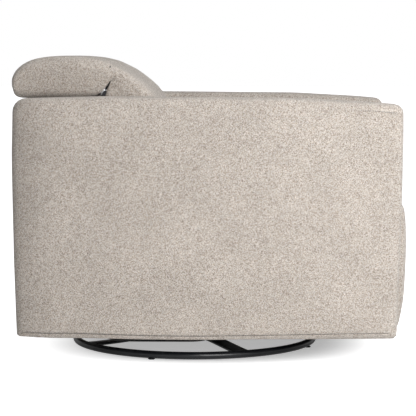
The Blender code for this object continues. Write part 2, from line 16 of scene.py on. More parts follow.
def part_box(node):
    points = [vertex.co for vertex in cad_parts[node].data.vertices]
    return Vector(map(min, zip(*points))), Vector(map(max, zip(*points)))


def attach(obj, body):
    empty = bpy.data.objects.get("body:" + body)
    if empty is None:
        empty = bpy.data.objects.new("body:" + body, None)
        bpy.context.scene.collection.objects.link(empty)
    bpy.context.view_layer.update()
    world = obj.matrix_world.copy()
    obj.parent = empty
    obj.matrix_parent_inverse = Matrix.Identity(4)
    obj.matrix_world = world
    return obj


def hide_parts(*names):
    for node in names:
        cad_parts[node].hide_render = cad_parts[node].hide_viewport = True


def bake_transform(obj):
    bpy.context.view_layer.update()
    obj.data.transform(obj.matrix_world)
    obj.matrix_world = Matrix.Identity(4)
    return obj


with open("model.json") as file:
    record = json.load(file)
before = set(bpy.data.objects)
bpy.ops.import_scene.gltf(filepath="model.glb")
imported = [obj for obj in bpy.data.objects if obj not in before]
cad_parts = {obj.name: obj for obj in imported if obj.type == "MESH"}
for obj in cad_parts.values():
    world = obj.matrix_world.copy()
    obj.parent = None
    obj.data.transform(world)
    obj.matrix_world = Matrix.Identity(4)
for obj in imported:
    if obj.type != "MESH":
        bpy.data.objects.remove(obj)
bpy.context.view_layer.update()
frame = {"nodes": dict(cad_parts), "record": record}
LOG = logging.getLogger("chair")

Array = np.ndarray
Socket = bpy.types.NodeSocket
Colour = tuple[float, float, float]


class Side(Enum):
    """The sitter's right or left, with its sign along X."""

    RIGHT = ("right", -1)
    LEFT = ("left", 1)

    @property
    def word(self) -> str:
        """Name used in piece names."""
        return self.value[0]

    @property
    def sign(self) -> int:
        """Sign along X."""
        return self.value[1]


class Slot(Enum):
    """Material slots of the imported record."""

    TWEED = "tweed"
    BLACK_STEEL = "black_steel"
    ZINC_STEEL = "zinc_steel"
    PLYWOOD = "plywood"
    BEECH = "beech"
    BLACK_CLOTH = "black_cloth"
    WEBBING = "webbing"
    NYLON = "nylon"


# ---------------------------------------------------------------- shader graphs


class Graph:
    """Short calls for adding and wiring shader nodes in one tree."""

    def __init__(self, tree: bpy.types.NodeTree) -> None:
        """Keeps the tree.

        Args:
            tree: node tree of a material or a group.
        """
        self.tree = tree

    def add(self, kind: str, inputs: Optional[dict] = None, **settings: object) -> bpy.types.Node:
        """Adds a node.

        Args:
            kind: node type without its ShaderNode prefix.
            inputs: socket name or number to a value or to another socket.
            **settings: properties of the node.

        Returns:
            The new node.
        """
        made = self.tree.nodes.new("ShaderNode" + kind)
        for name, value in settings.items():
            setattr(made, name, value)
        for name, value in (inputs or {}).items():
            if isinstance(value, Socket):
                self.tree.links.new(value, made.inputs[name])
            else:
                made.inputs[name].default_value = value
        return made

    def math(self, operation: str, a: object, b: object = 0.0, clamp: bool = False) -> Socket:
        """Math node of two values; returns its result."""
        return self.add("Math", {0: a, 1: b}, operation=operation, use_clamp=clamp).outputs[0]

    def remap(self, value: Socket, low: float, high: float, to_low: float = 0, to_high: float = 1) -> Socket:
        """Maps a value range smoothly to another one; returns the result."""
        inputs = {"Value": value, 1: low, 2: high, 3: to_low, 4: to_high}
        return self.add("MapRange", inputs, interpolation_type="SMOOTHSTEP").outputs[0]

    def mix(self, factor: object, a: object, b: object, blend: str = "MIX") -> Socket:
        """Mixes two colours; returns the colour."""
        made = self.add("Mix", data_type="RGBA", blend_type=blend)
        for index, value in ((0, factor), (6, a), (7, b)):
            if isinstance(value, Socket):
                self.tree.links.new(value, made.inputs[index])
            else:
                made.inputs[index].default_value = (*value, 1.0) if index else value
        return made.outputs[2]


def start_group(
    name: str, inputs: dict[str, object], outputs: Sequence[str]
) -> tuple[Graph, dict, bpy.types.Node]:
    """Begins a node group with named sockets.

    Args:
        name: name of the group.
        inputs: socket name to its default, a number or a colour.
        outputs: output names; "Colour" is a colour, others are values.

    Returns:
        The graph, its input sockets by name and its output node.
    """
    tree = bpy.data.node_groups.new(name, "ShaderNodeTree")
    for label, value in inputs.items():
        kind = "NodeSocketFloat" if isinstance(value, float) else "NodeSocketColor"
        socket = tree.interface.new_socket(label, in_out="INPUT", socket_type=kind)
        socket.default_value = value if isinstance(value, float) else (*value, 1.0)
    for label in outputs:
        kind = "NodeSocketColor" if label == "Colour" else "NodeSocketFloat"
        tree.interface.new_socket(label, in_out="OUTPUT", socket_type=kind)
    entry = tree.nodes.new("NodeGroupInput")
    return Graph(tree), {s.name: s for s in entry.outputs if s.name}, tree.nodes.new("NodeGroupOutput")


def boucle_group() -> bpy.types.NodeTree:
    """Looped, heathered yarn: rounded nubs of three yarn colours with fine fibre in them.

    Nubs are the cells of a warped Voronoi pattern. Each cell draws one yarn colour from
    its own random value, and its height is a dome that falls off to the cell's edge.
    The colour also darkens towards each cell's edge: painted shade between the nubs.
    """
    inputs = {
        "Nub": 300.0,
        "Dark": (0.2, 0.15, 0.1),
        "Middle": (0.5, 0.4, 0.3),
        "Light": (0.8, 0.75, 0.7),
    }
    graph, entry, out = start_group("Boucle yarn", inputs, ("Colour", "Height", "Roughness"))
    place = graph.add("TexCoord").outputs["Object"]
    sway = graph.add("TexNoise", {"Vector": place, "Scale": 210.0, "Detail": 2.0})
    centred = graph.add("VectorMath", {0: sway.outputs["Color"], 1: (0.5, 0.5, 0.5)}, operation="SUBTRACT")
    shift = graph.add("VectorMath", {0: centred.outputs[0], "Scale": 0.0060}, operation="SCALE")
    warped = graph.add("VectorMath", {0: place, 1: shift.outputs[0]}, operation="ADD").outputs[0]
    nubs = graph.add("TexVoronoi", {"Vector": warped, "Scale": entry["Nub"], "Randomness": 1.0})
    wide = graph.math("MULTIPLY", entry["Nub"], 0.62)
    knots = graph.add("TexVoronoi", {"Vector": warped, "Scale": wide, "Randomness": 1.0})
    draw, hue = graph.add("SeparateColor", {0: nubs.outputs["Color"]}).outputs[:2]
    coarse = graph.add("SeparateColor", {0: knots.outputs["Color"]}).outputs[1]
    value = graph.math("ADD", graph.math("MULTIPLY", draw, 0.80), graph.math("MULTIPLY", coarse, 0.20))
    hairs = {"Vector": place, "Scale": 1500.0, "Detail": 3.0, "Roughness": 0.7}
    fibre = graph.add("TexNoise", hairs).outputs[0]
    value = graph.math("ADD", value, graph.math("MULTIPLY", graph.math("SUBTRACT", fibre, 0.5), 0.45))
    lower = graph.mix(graph.remap(value, 0.16, 0.42), entry["Dark"], entry["Middle"])
    yarn = graph.mix(graph.remap(value, 0.46, 0.72), lower, entry["Light"])
    yarn = graph.mix(1.0, yarn, graph.mix(hue, (1.025, 1.0, 0.965), (0.975, 1.0, 1.035)), "MULTIPLY")
    dome = graph.remap(nubs.outputs["Distance"], 0.75, 0.05)
    # painted shade: the yarn colour falls to 62% at the edges of the nubs, where the loops shade each other
    nub_gap_shade = graph.remap(dome, 0.0, 0.55, 0.62, 1.0)
    cloud = graph.add("TexNoise", {"Vector": place, "Scale": 9.0, "Detail": 2.0}).outputs[0]
    tone = graph.math("MULTIPLY", nub_gap_shade, graph.remap(cloud, 0.3, 0.7, 0.95, 1.04))
    shade = graph.add("CombineColor", {0: tone, 1: tone, 2: tone}).outputs[0]
    graph.tree.links.new(graph.mix(1.0, yarn, shade, "MULTIPLY"), out.inputs["Colour"])
    height = graph.math("ADD", graph.math("MULTIPLY", dome, 0.8), graph.math("MULTIPLY", fibre, 0.35))
    graph.tree.links.new(height, out.inputs["Height"])
    graph.tree.links.new(graph.remap(fibre, 0.3, 0.7, 0.86, 0.98), out.inputs["Roughness"])
    return graph.tree


def scuff_group() -> bpy.types.NodeTree:
    """Handling marks and settled dust: a mask of broad blotches broken by fine scratches."""
    graph, entry, out = start_group("Scuffs and dust", {"Scale": 20.0, "Amount": 0.5}, ("Mask", "Height"))
    place = graph.add("TexCoord").outputs["Object"]
    broad = {"Vector": place, "Scale": entry["Scale"], "Detail": 5.0, "Roughness": 0.65}
    blotch = graph.add("TexNoise", broad)
    narrow = graph.math("MULTIPLY", entry["Scale"], 26.0)
    fine = graph.add("TexNoise", {"Vector": place, "Scale": narrow, "Detail": 3.0})
    mask = graph.math("MULTIPLY", graph.remap(blotch.outputs[0], 0.42, 0.72), fine.outputs[0])
    graph.tree.links.new(graph.math("MULTIPLY", mask, entry["Amount"], True), out.inputs["Mask"])
    graph.tree.links.new(fine.outputs[0], out.inputs["Height"])
    return graph.tree


def grain_group() -> bpy.types.NodeTree:
    """Wood figure: long fibres along Y from stretched noise over broad growth bands."""
    inputs = {"Across": 60.0, "Light": (0.7, 0.5, 0.3), "Dark": (0.4, 0.25, 0.12)}
    graph, entry, out = start_group("Wood grain", inputs, ("Colour", "Height"))
    place = graph.add("TexCoord").outputs["Object"]
    along = graph.add("Mapping", {"Vector": place, "Scale": (1.0, 0.06, 1.0)}).outputs[0]
    fibre = graph.add("TexNoise", {"Vector": along, "Scale": graph.math("MULTIPLY", entry["Across"], 9.0)})
    growth = {"Vector": along, "Scale": entry["Across"], "Detail": 4.0, "Distortion": 0.6}
    band = graph.add("TexNoise", growth)
    streak = graph.math("MULTIPLY", fibre.outputs[0], 0.4)
    value = graph.math("ADD", streak, graph.math("MULTIPLY", band.outputs[0], 0.6))
    colour = graph.mix(graph.remap(value, 0.34, 0.66), entry["Dark"], entry["Light"])
    graph.tree.links.new(colour, out.inputs["Colour"])
    graph.tree.links.new(fibre.outputs[0], out.inputs["Height"])
    return graph.tree


GROUPS: dict[str, bpy.types.NodeTree] = {}


def group(name: str) -> bpy.types.NodeTree:
    """Shared node group by name, made on first use.

    Args:
        name: boucle, scuff or grain.

    Returns:
        The node tree of the group.
    """
    makers: dict[str, Callable] = {"boucle": boucle_group, "scuff": scuff_group, "grain": grain_group}
    if name not in GROUPS:
        GROUPS[name] = makers[name]()
    return GROUPS[name]


def start_material(name: str, **values: object) -> tuple[bpy.types.Material, Graph, bpy.types.Node]:
    """New material with its Principled shader.

    Args:
        name: material name.
        **values: shader socket names, with _ for a space, to constants.

    Returns:
        The material, its graph and the shader node.
    """
    made = bpy.data.materials.new(name)
    made.use_nodes = True
    shader = made.node_tree.nodes["Principled BSDF"]
    for label, value in values.items():
        shader.inputs[label.replace("_", " ")].default_value = value
    return made, Graph(made.node_tree), shader


def bump(graph: Graph, shader: bpy.types.Node, height: Socket, depth: float, strength: float = 1.0) -> None:
    """Feeds a height to the shader's normal.

    Args:
        graph: graph of the material.
        shader: the Principled node.
        height: height from 0 to 1.
        depth: what a height of 1 stands for, in metres.
        strength: share of the effect.
    """
    made = graph.add("Bump", {"Height": height, "Distance": depth, "Strength": strength})
    graph.tree.links.new(made.outputs[0], shader.inputs["Normal"])


@dataclass(frozen=True)
class Boucle:
    """Heathered boucle tweed."""

    name: str
    dark: Colour = (0.315, 0.258, 0.214)
    middle: Colour = (0.518, 0.457, 0.400)
    light: Colour = (0.665, 0.612, 0.557)
    nub: float = 640.0
    relief: float = 0.0012

    def build(self) -> bpy.types.Material:
        """Makes the material."""
        made, graph, shader = start_material(self.name, Sheen_Weight=0.25, Sheen_Roughness=0.5)
        shader.inputs["Specular IOR Level"].default_value = 0.2
        yarn = graph.add("Group", node_tree=group("boucle"))
        yarn.inputs["Nub"].default_value = self.nub
        for label, colour in (("Dark", self.dark), ("Middle", self.middle), ("Light", self.light)):
            yarn.inputs[label].default_value = (*colour, 1.0)
        graph.tree.links.new(yarn.outputs["Colour"], shader.inputs["Base Color"])
        graph.tree.links.new(yarn.outputs["Roughness"], shader.inputs["Roughness"])
        bump(graph, shader, yarn.outputs["Height"], self.relief, 0.75)
        return made


@dataclass(frozen=True)
class Metal:
    """Coated or plated metal with handling marks."""

    name: str
    colour: Colour
    worn: Colour
    roughness: float
    metallic: float
    coat: float = 0.0
    texture: float = 900.0
    relief: float = 0.00004

    def build(self) -> bpy.types.Material:
        """Makes the material."""
        made, graph, shader = start_material(self.name, Metallic=self.metallic, Coat_Weight=self.coat)
        marks = graph.add("Group", node_tree=group("scuff"))
        marks.inputs["Scale"].default_value = 16.0
        marks.inputs["Amount"].default_value = 0.55
        mask = marks.outputs["Mask"]
        graph.tree.links.new(graph.mix(mask, self.colour, self.worn), shader.inputs["Base Color"])
        rough = graph.remap(mask, 0.0, 0.5, self.roughness, min(self.roughness + 0.2, 1.0))
        graph.tree.links.new(rough, shader.inputs["Roughness"])
        place = graph.add("TexCoord").outputs["Object"]
        peel = graph.add("TexNoise", {"Vector": place, "Scale": self.texture, "Detail": 2.0})
        bump(graph, shader, peel.outputs[0], self.relief)
        return made


@dataclass(frozen=True)
class Wood:
    """Raw board or hardwood, with its layers where it is plywood."""

    name: str
    light: Colour
    dark: Colour
    across: float
    layers: bool = False

    def build(self) -> bpy.types.Material:
        """Makes the material."""
        made, graph, shader = start_material(self.name, Roughness=0.68)
        grain = graph.add("Group", node_tree=group("grain"))
        grain.inputs["Across"].default_value = self.across
        grain.inputs["Light"].default_value = (*self.light, 1.0)
        grain.inputs["Dark"].default_value = (*self.dark, 1.0)
        colour = grain.outputs["Colour"]
        if self.layers:
            place = graph.add("TexCoord").outputs["Object"]
            layers = {"Vector": place, "Scale": 110.0, "Distortion": 0.6, "Detail": 1.0}
            plies = graph.add("TexWave", layers, bands_direction="X")
            colour = graph.mix(graph.math("MULTIPLY", plies.outputs[1], 0.35), colour, self.dark)
        graph.tree.links.new(colour, shader.inputs["Base Color"])
        bump(graph, shader, grain.outputs["Height"], 0.0003, 0.6)
        return made


@dataclass(frozen=True)
class Woven:
    """Plain woven or felted cloth of one dark colour."""

    name: str
    colour: Colour
    thread: Colour
    pitch: float
    relief: float = 0.0004

    def build(self) -> bpy.types.Material:
        """Makes the material. Threads are two crossed wave patterns."""
        made, graph, shader = start_material(self.name, Sheen_Weight=0.15, Roughness=0.92)
        place = graph.add("TexCoord").outputs["Object"]
        threads = {"Vector": place, "Scale": self.pitch, "Distortion": 0.8}
        warp = graph.add("TexWave", threads, bands_direction="X")
        weft = graph.add("TexWave", threads, bands_direction="Y")
        weave = graph.math("MULTIPLY", warp.outputs[1], weft.outputs[1])
        graph.tree.links.new(graph.mix(weave, self.colour, self.thread), shader.inputs["Base Color"])
        bump(graph, shader, weave, self.relief, 0.7)
        return made


@dataclass(frozen=True)
class Moulded:
    """Moulded nylon with a fine spark-eroded surface."""

    name: str
    colour: Colour
    roughness: float = 0.5

    def build(self) -> bpy.types.Material:
        """Makes the material."""
        made, graph, shader = start_material(self.name)
        place = graph.add("TexCoord").outputs["Object"]
        grit = graph.add("TexNoise", {"Vector": place, "Scale": 1400.0, "Detail": 3.0}).outputs[0]
        cloud = graph.add("TexNoise", {"Vector": place, "Scale": 30.0, "Detail": 3.0}).outputs[0]
        paler = tuple(min(1.0, c * 1.6 + 0.01) for c in self.colour)
        tone = graph.mix(graph.remap(cloud, 0.45, 0.75), self.colour, paler)
        graph.tree.links.new(tone, shader.inputs["Base Color"])
        rough = graph.remap(grit, 0.3, 0.7, self.roughness - 0.08, self.roughness + 0.08)
        graph.tree.links.new(rough, shader.inputs["Roughness"])
        bump(graph, shader, grit, 0.00012, 0.7)
        return made


FINISHES: dict[Slot, object] = {
    Slot.TWEED: Boucle("Boucle tweed"),
    Slot.BLACK_STEEL: Metal(
        "Black powder coat", (0.010, 0.011, 0.014), (0.045, 0.046, 0.050), 0.30, 0.0, 0.25
    ),
    Slot.ZINC_STEEL: Metal("Zinc plate", (0.50, 0.51, 0.53), (0.34, 0.33, 0.30), 0.34, 1.0, 0.0, 500.0),
    Slot.PLYWOOD: Wood("Birch plywood", (0.44, 0.36, 0.27), (0.30, 0.23, 0.16), 45.0, True),
    Slot.BEECH: Wood("Beech", (0.62, 0.42, 0.26), (0.44, 0.27, 0.15), 80.0),
    Slot.BLACK_CLOTH: Woven("Dust cover cloth", (0.010, 0.010, 0.011), (0.030, 0.030, 0.032), 420.0),
    Slot.WEBBING: Woven("Elastic webbing", (0.17, 0.15, 0.12), (0.42, 0.38, 0.32), 150.0, 0.0008),
    Slot.NYLON: Moulded("Black nylon", (0.018, 0.018, 0.019)),
}
MATERIALS: dict[Slot, bpy.types.Material] = {}


# ---------------------------------------------------------------- meshes


def smooth_line(points: Sequence[Sequence[float]], count: int) -> Array:
    """Catmull-Rom line through control points, at equal steps of its parameter.

    Each span is the cubic whose end slopes are half the chord between the neighbours.

    Args:
        points: control points, any number of values each.
        count: number of samples.

    Returns:
        Array of count rows.
    """
    knots = np.asarray(points, float)
    padded = np.vstack([2 * knots[0] - knots[1], knots, 2 * knots[-1] - knots[-2]])
    t = np.linspace(0, len(knots) - 1, count)
    i = np.minimum(t.astype(int), len(knots) - 2)
    f = (t - i)[:, None]
    p0, p1, p2, p3 = (padded[i + k] for k in range(4))
    return 0.5 * (
        2 * p1 + (p2 - p0) * f + (2 * p0 - 5 * p1 + 4 * p2 - p3) * f**2 + (3 * p1 - p0 - 3 * p2 + p3) * f**3
    )


def resample(outline: Array, count: int) -> Array:
    """Closed outline at equal steps of its length.

    Args:
        outline: rows of points, the first not repeated.
        count: number of points wanted.

    Returns:
        Array of count rows.
    """
    loop = np.vstack([outline, outline[:1]])
    length = np.concatenate([[0], np.cumsum(np.linalg.norm(np.diff(loop, axis=0), axis=1))])
    steps = np.linspace(0, length[-1], count, endpoint=False)
    return np.stack([np.interp(steps, length, loop[:, k]) for k in range(loop.shape[1])], 1)


def rounded_outline(corners: Sequence[Sequence[float]], count: int, steps: int = 10) -> Array:
    """Outline through (y, z, radius) corners, each replaced by a tangent arc.

    The arc meets both sides at radius times the tangent of half the turn from the corner.

    Args:
        corners: corners in order, with their radii.
        count: number of points wanted on the whole outline.
        steps: spans in each arc.

    Returns:
        Array of count rows (y, z).
    """
    rows: list[Array] = []
    points = np.asarray(corners, float)
    for k, (y, z, radius) in enumerate(points):
        here = np.array([y, z])
        back, ahead = points[k - 1, :2] - here, points[(k + 1) % len(points), :2] - here
        back_len, ahead_len = np.linalg.norm(back), np.linalg.norm(ahead)
        back, ahead = back / back_len, ahead / ahead_len
        turn = math.pi - math.acos(float(np.clip(back @ ahead, -1, 1)))
        reach = min(radius * math.tan(turn / 2), 0.49 * back_len, 0.49 * ahead_len)
        s = np.linspace(0, 1, steps + 1)[:, None]
        first, last = here + back * reach, here + ahead * reach
        weight = math.cos(turn / 2)
        top = (1 - s) ** 2 * first + 2 * s * (1 - s) * weight * here + s**2 * last
        rows.append(top / ((1 - s) ** 2 + 2 * s * (1 - s) * weight + s**2))
    return resample(np.vstack(rows), count)


def ring_mesh(name: str, rings: Array, caps: bool = True) -> bpy.types.Object:
    """Closed tube of quads from rings of points.

    Neighbouring rings are joined span by span; end rings are closed by their own middle
    point. Faces are turned outwards by the sign of the enclosed volume.

    Args:
        name: piece name.
        rings: array (rings, around, 3).
        caps: close the ends; without it the last ring joins the first.

    Returns:
        The new object, at the origin.
    """
    count, around, _ = rings.shape
    points = rings.reshape(-1, 3)
    faces = lattice(count, around, 0, True, not caps)
    if caps:
        points = np.vstack([points, rings[0].mean(0), rings[-1].mean(0)])
        first, last = len(points) - 2, len(points) - 1
        turn = np.arange(around)
        after = (turn + 1) % around
        base = (count - 1) * around
        faces += np.stack([after, turn, np.full(around, first)], 1).tolist()
        faces += np.stack([base + turn, base + after, np.full(around, last)], 1).tolist()
    return finish_mesh(name, points, faces)


def lattice(rows: int, columns: int, start: int = 0, around: bool = False, ends: bool = False) -> list:
    """Quads between neighbouring points of a grid whose numbering runs along its rows.

    Args:
        rows: number of rows.
        columns: number of points in a row.
        start: number of the grid's first point.
        around: join the last column to the first.
        ends: join the last row to the first.

    Returns:
        Faces as lists of four point numbers.
    """
    i = np.arange(rows if ends else rows - 1)[:, None]
    j = np.arange(columns if around else columns - 1)[None, :]
    k, m = (i + 1) % rows, (j + 1) % columns
    corners = (i * columns + j, i * columns + m, k * columns + m, k * columns + j)
    return (np.stack(np.broadcast_arrays(*corners), -1).reshape(-1, 4) + start).tolist()


def finish_mesh(name: str, points: Array, faces: list) -> bpy.types.Object:
    """Object from points and faces, its doubles merged and its faces turned outwards."""
    mesh = bpy.data.meshes.new(name)
    mesh.from_pydata(points.tolist(), [], faces)
    work = bmesh.new()
    work.from_mesh(mesh)
    bmesh.ops.remove_doubles(work, verts=work.verts, dist=2e-5)
    bmesh.ops.dissolve_degenerate(work, dist=1e-6, edges=work.edges)
    bmesh.ops.recalc_face_normals(work, faces=work.faces)
    if work.calc_volume(signed=True) < 0:
        bmesh.ops.reverse_faces(work, faces=work.faces)
    for face in work.faces:
        face.smooth = True
    work.to_mesh(mesh)
    work.free()
    mesh.update()
    made = bpy.data.objects.new(name, mesh)
    bpy.context.scene.collection.objects.link(made)
    return made


def coordinates(item: bpy.types.Object) -> Array:
    """Vertex positions of a mesh object as an array."""
    flat = np.zeros(len(item.data.vertices) * 3, np.float32)
    item.data.vertices.foreach_get("co", flat)
    return flat.reshape(-1, 3).astype(float)


def set_coordinates(item: bpy.types.Object, points: Array) -> None:
    """Writes vertex positions back to a mesh object."""
    item.data.vertices.foreach_set("co", points.astype(np.float32).ravel())
    item.data.update()


def normals(item: bpy.types.Object) -> Array:
    """Vertex normals of a mesh object as an array."""
    flat = np.zeros(len(item.data.vertices) * 3, np.float32)
    item.data.vertex_normals.foreach_get("vector", flat)
    return flat.reshape(-1, 3).astype(float)


def ripple(points: Array, scale: float, seed: float) -> Array:
    """Smooth field from -1 to 1: a sum of nine plane waves with fixed directions.

    Args:
        points: positions, rows of three.
        scale: waves per metre.
        seed: shifts the phases.

    Returns:
        One value for each row.
    """
    total = np.zeros(len(points))
    for k in range(9):
        angle, tilt = 2.4 * k + seed, 1.7 * k + 0.6 * seed
        way = np.array([math.cos(angle) * math.cos(tilt), math.sin(angle) * math.cos(tilt), math.sin(tilt)])
        total += np.sin(points @ way * scale * 2 * math.pi * (0.6 + 0.13 * k) + 1.3 * k * seed)
    return total / 4.5


def displace(item: bpy.types.Object, amount: Callable[[Array, Array], Array]) -> None:
    """Moves every vertex along its normal.

    Args:
        item: mesh object.
        amount: gives the distance for positions and normals.
    """
    points, ways = coordinates(item), normals(item)
    set_coordinates(item, points + ways * amount(points, ways)[:, None])


def dress(item: bpy.types.Object, slot: Slot, body: str, *nodes: str) -> bpy.types.Object:
    """Gives a piece its finish, its body and the CAD nodes it stands for.

    Args:
        item: finished object at the origin.
        slot: material slot.
        body: CAD body it rides on.
        *nodes: CAD nodes it replaces.

    Returns:
        The same object.
    """
    item.data.materials.clear()
    item.data.materials.append(MATERIALS[slot])
    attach(item, body)
    if nodes:
        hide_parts(*nodes)
    LOG.info("%s: %d faces on %s", item.name, len(item.data.polygons), body)
    return item


@dataclass(frozen=True)
class Cushioned:
    """Soft body between an outer and an inner side line, carried across the chair's width.

    At each station the section is a rounded rectangle: as wide as the body and as thick
    as the gap between the two lines, with its own corner radius on either line.
    """

    half_width: float
    radius: float
    crown_out: float = 0.0
    crown_in: float = 0.0
    side_swell: float = 0.0
    across: int = 44
    corner: int = 7
    wall: int = 8

    def section(self, thick: Array, outer_r: Array, inner_r: Array) -> tuple[Array, Array]:
        """Section points around each station.

        Args:
            thick: half thickness at each station.
            outer_r: corner radius on the outer line.
            inner_r: corner radius on the inner line.

        Returns:
            Positions across X, and from -1 (inner) to 1 (outer), each (stations, around).
        """
        flat = np.linspace(-1, 1, self.across)
        arc = np.linspace(0, math.pi / 2, self.corner + 2)[1:-1]
        rise = np.linspace(0, 1, self.wall)
        ro, ri = outer_r[:, None], inner_r[:, None]
        qo, qi = ro / thick[:, None], ri / thick[:, None]
        wide_o, wide_i = self.half_width - ro, self.half_width - ri
        one = np.ones((len(thick), self.across))
        wall_x = np.full((len(thick), self.wall), self.half_width)
        down = (1 - qo) - rise * (2 - qo - qi)
        pairs = (
            (flat * wide_o, one),
            (wide_o + ro * np.sin(arc), 1 - qo + qo * np.cos(arc)),
            (wall_x, down),
            (wide_i + ri * np.cos(arc), qi - 1 - qi * np.sin(arc)),
            (-flat * wide_i, -one),
            (-wide_i - ri * np.sin(arc), qi - 1 - qi * np.cos(arc)),
            (-wall_x, down[:, ::-1]),
            (-wide_o - ro * np.cos(arc), 1 - qo + qo * np.sin(arc)),
        )
        return np.concatenate([x for x, _ in pairs], 1), np.concatenate([w for _, w in pairs], 1)

    def build(
        self,
        name: str,
        outer: Array,
        inner: Array,
        radii: Optional[Array] = None,
        inner_radii: Optional[Array] = None,
    ) -> bpy.types.Object:
        """Makes the mesh.

        Position = midpoint + section height times the half gap; then the crown lifts the
        middle of the outer and inner faces, and the swell bows the end walls.

        Args:
            name: piece name.
            outer: (stations, 2) outer line in (y, z).
            inner: matching inner line.
            radii: corner radius at each station on the outer line, or None for the constant.
            inner_radii: the same on the inner line, or None for that of the outer line.

        Returns:
            The new object.
        """
        middle, half = (outer + inner) / 2, (outer - inner) / 2
        thick = np.maximum(np.linalg.norm(half, axis=1), 1e-6)
        wanted = np.full(len(thick), self.radius) if radii is None else radii
        outer_r = np.minimum(wanted, thick * 0.98)
        inner_r = np.minimum(wanted if inner_radii is None else inner_radii, thick * 0.98)
        x, w = self.section(thick, outer_r, inner_r)
        ends = np.clip(thick / self.radius, 0, 1)
        pull = self.radius * (1 - np.sqrt(np.clip(1 - (1 - ends) ** 2, 0, 1)))
        x = x * ((self.half_width - pull) / self.half_width)[:, None]
        yz = middle[:, None, :] + half[:, None, :] * w[..., None]
        way = half / thick[:, None]
        bell = (1 - np.clip(np.abs(x) / self.half_width, 0, 1) ** 3) * ends[:, None]
        lift = np.where(w > 0, w * self.crown_out, w * self.crown_in) * bell
        yz = yz + way[:, None, :] * lift[..., None]
        side = np.clip((np.abs(x) - (self.half_width - self.radius)) / self.radius, 0, 1)
        x = x + np.sign(x) * self.side_swell * side * (1 - w**2) * ends[:, None]
        return ring_mesh(name, np.concatenate([x[..., None], yz], -1))


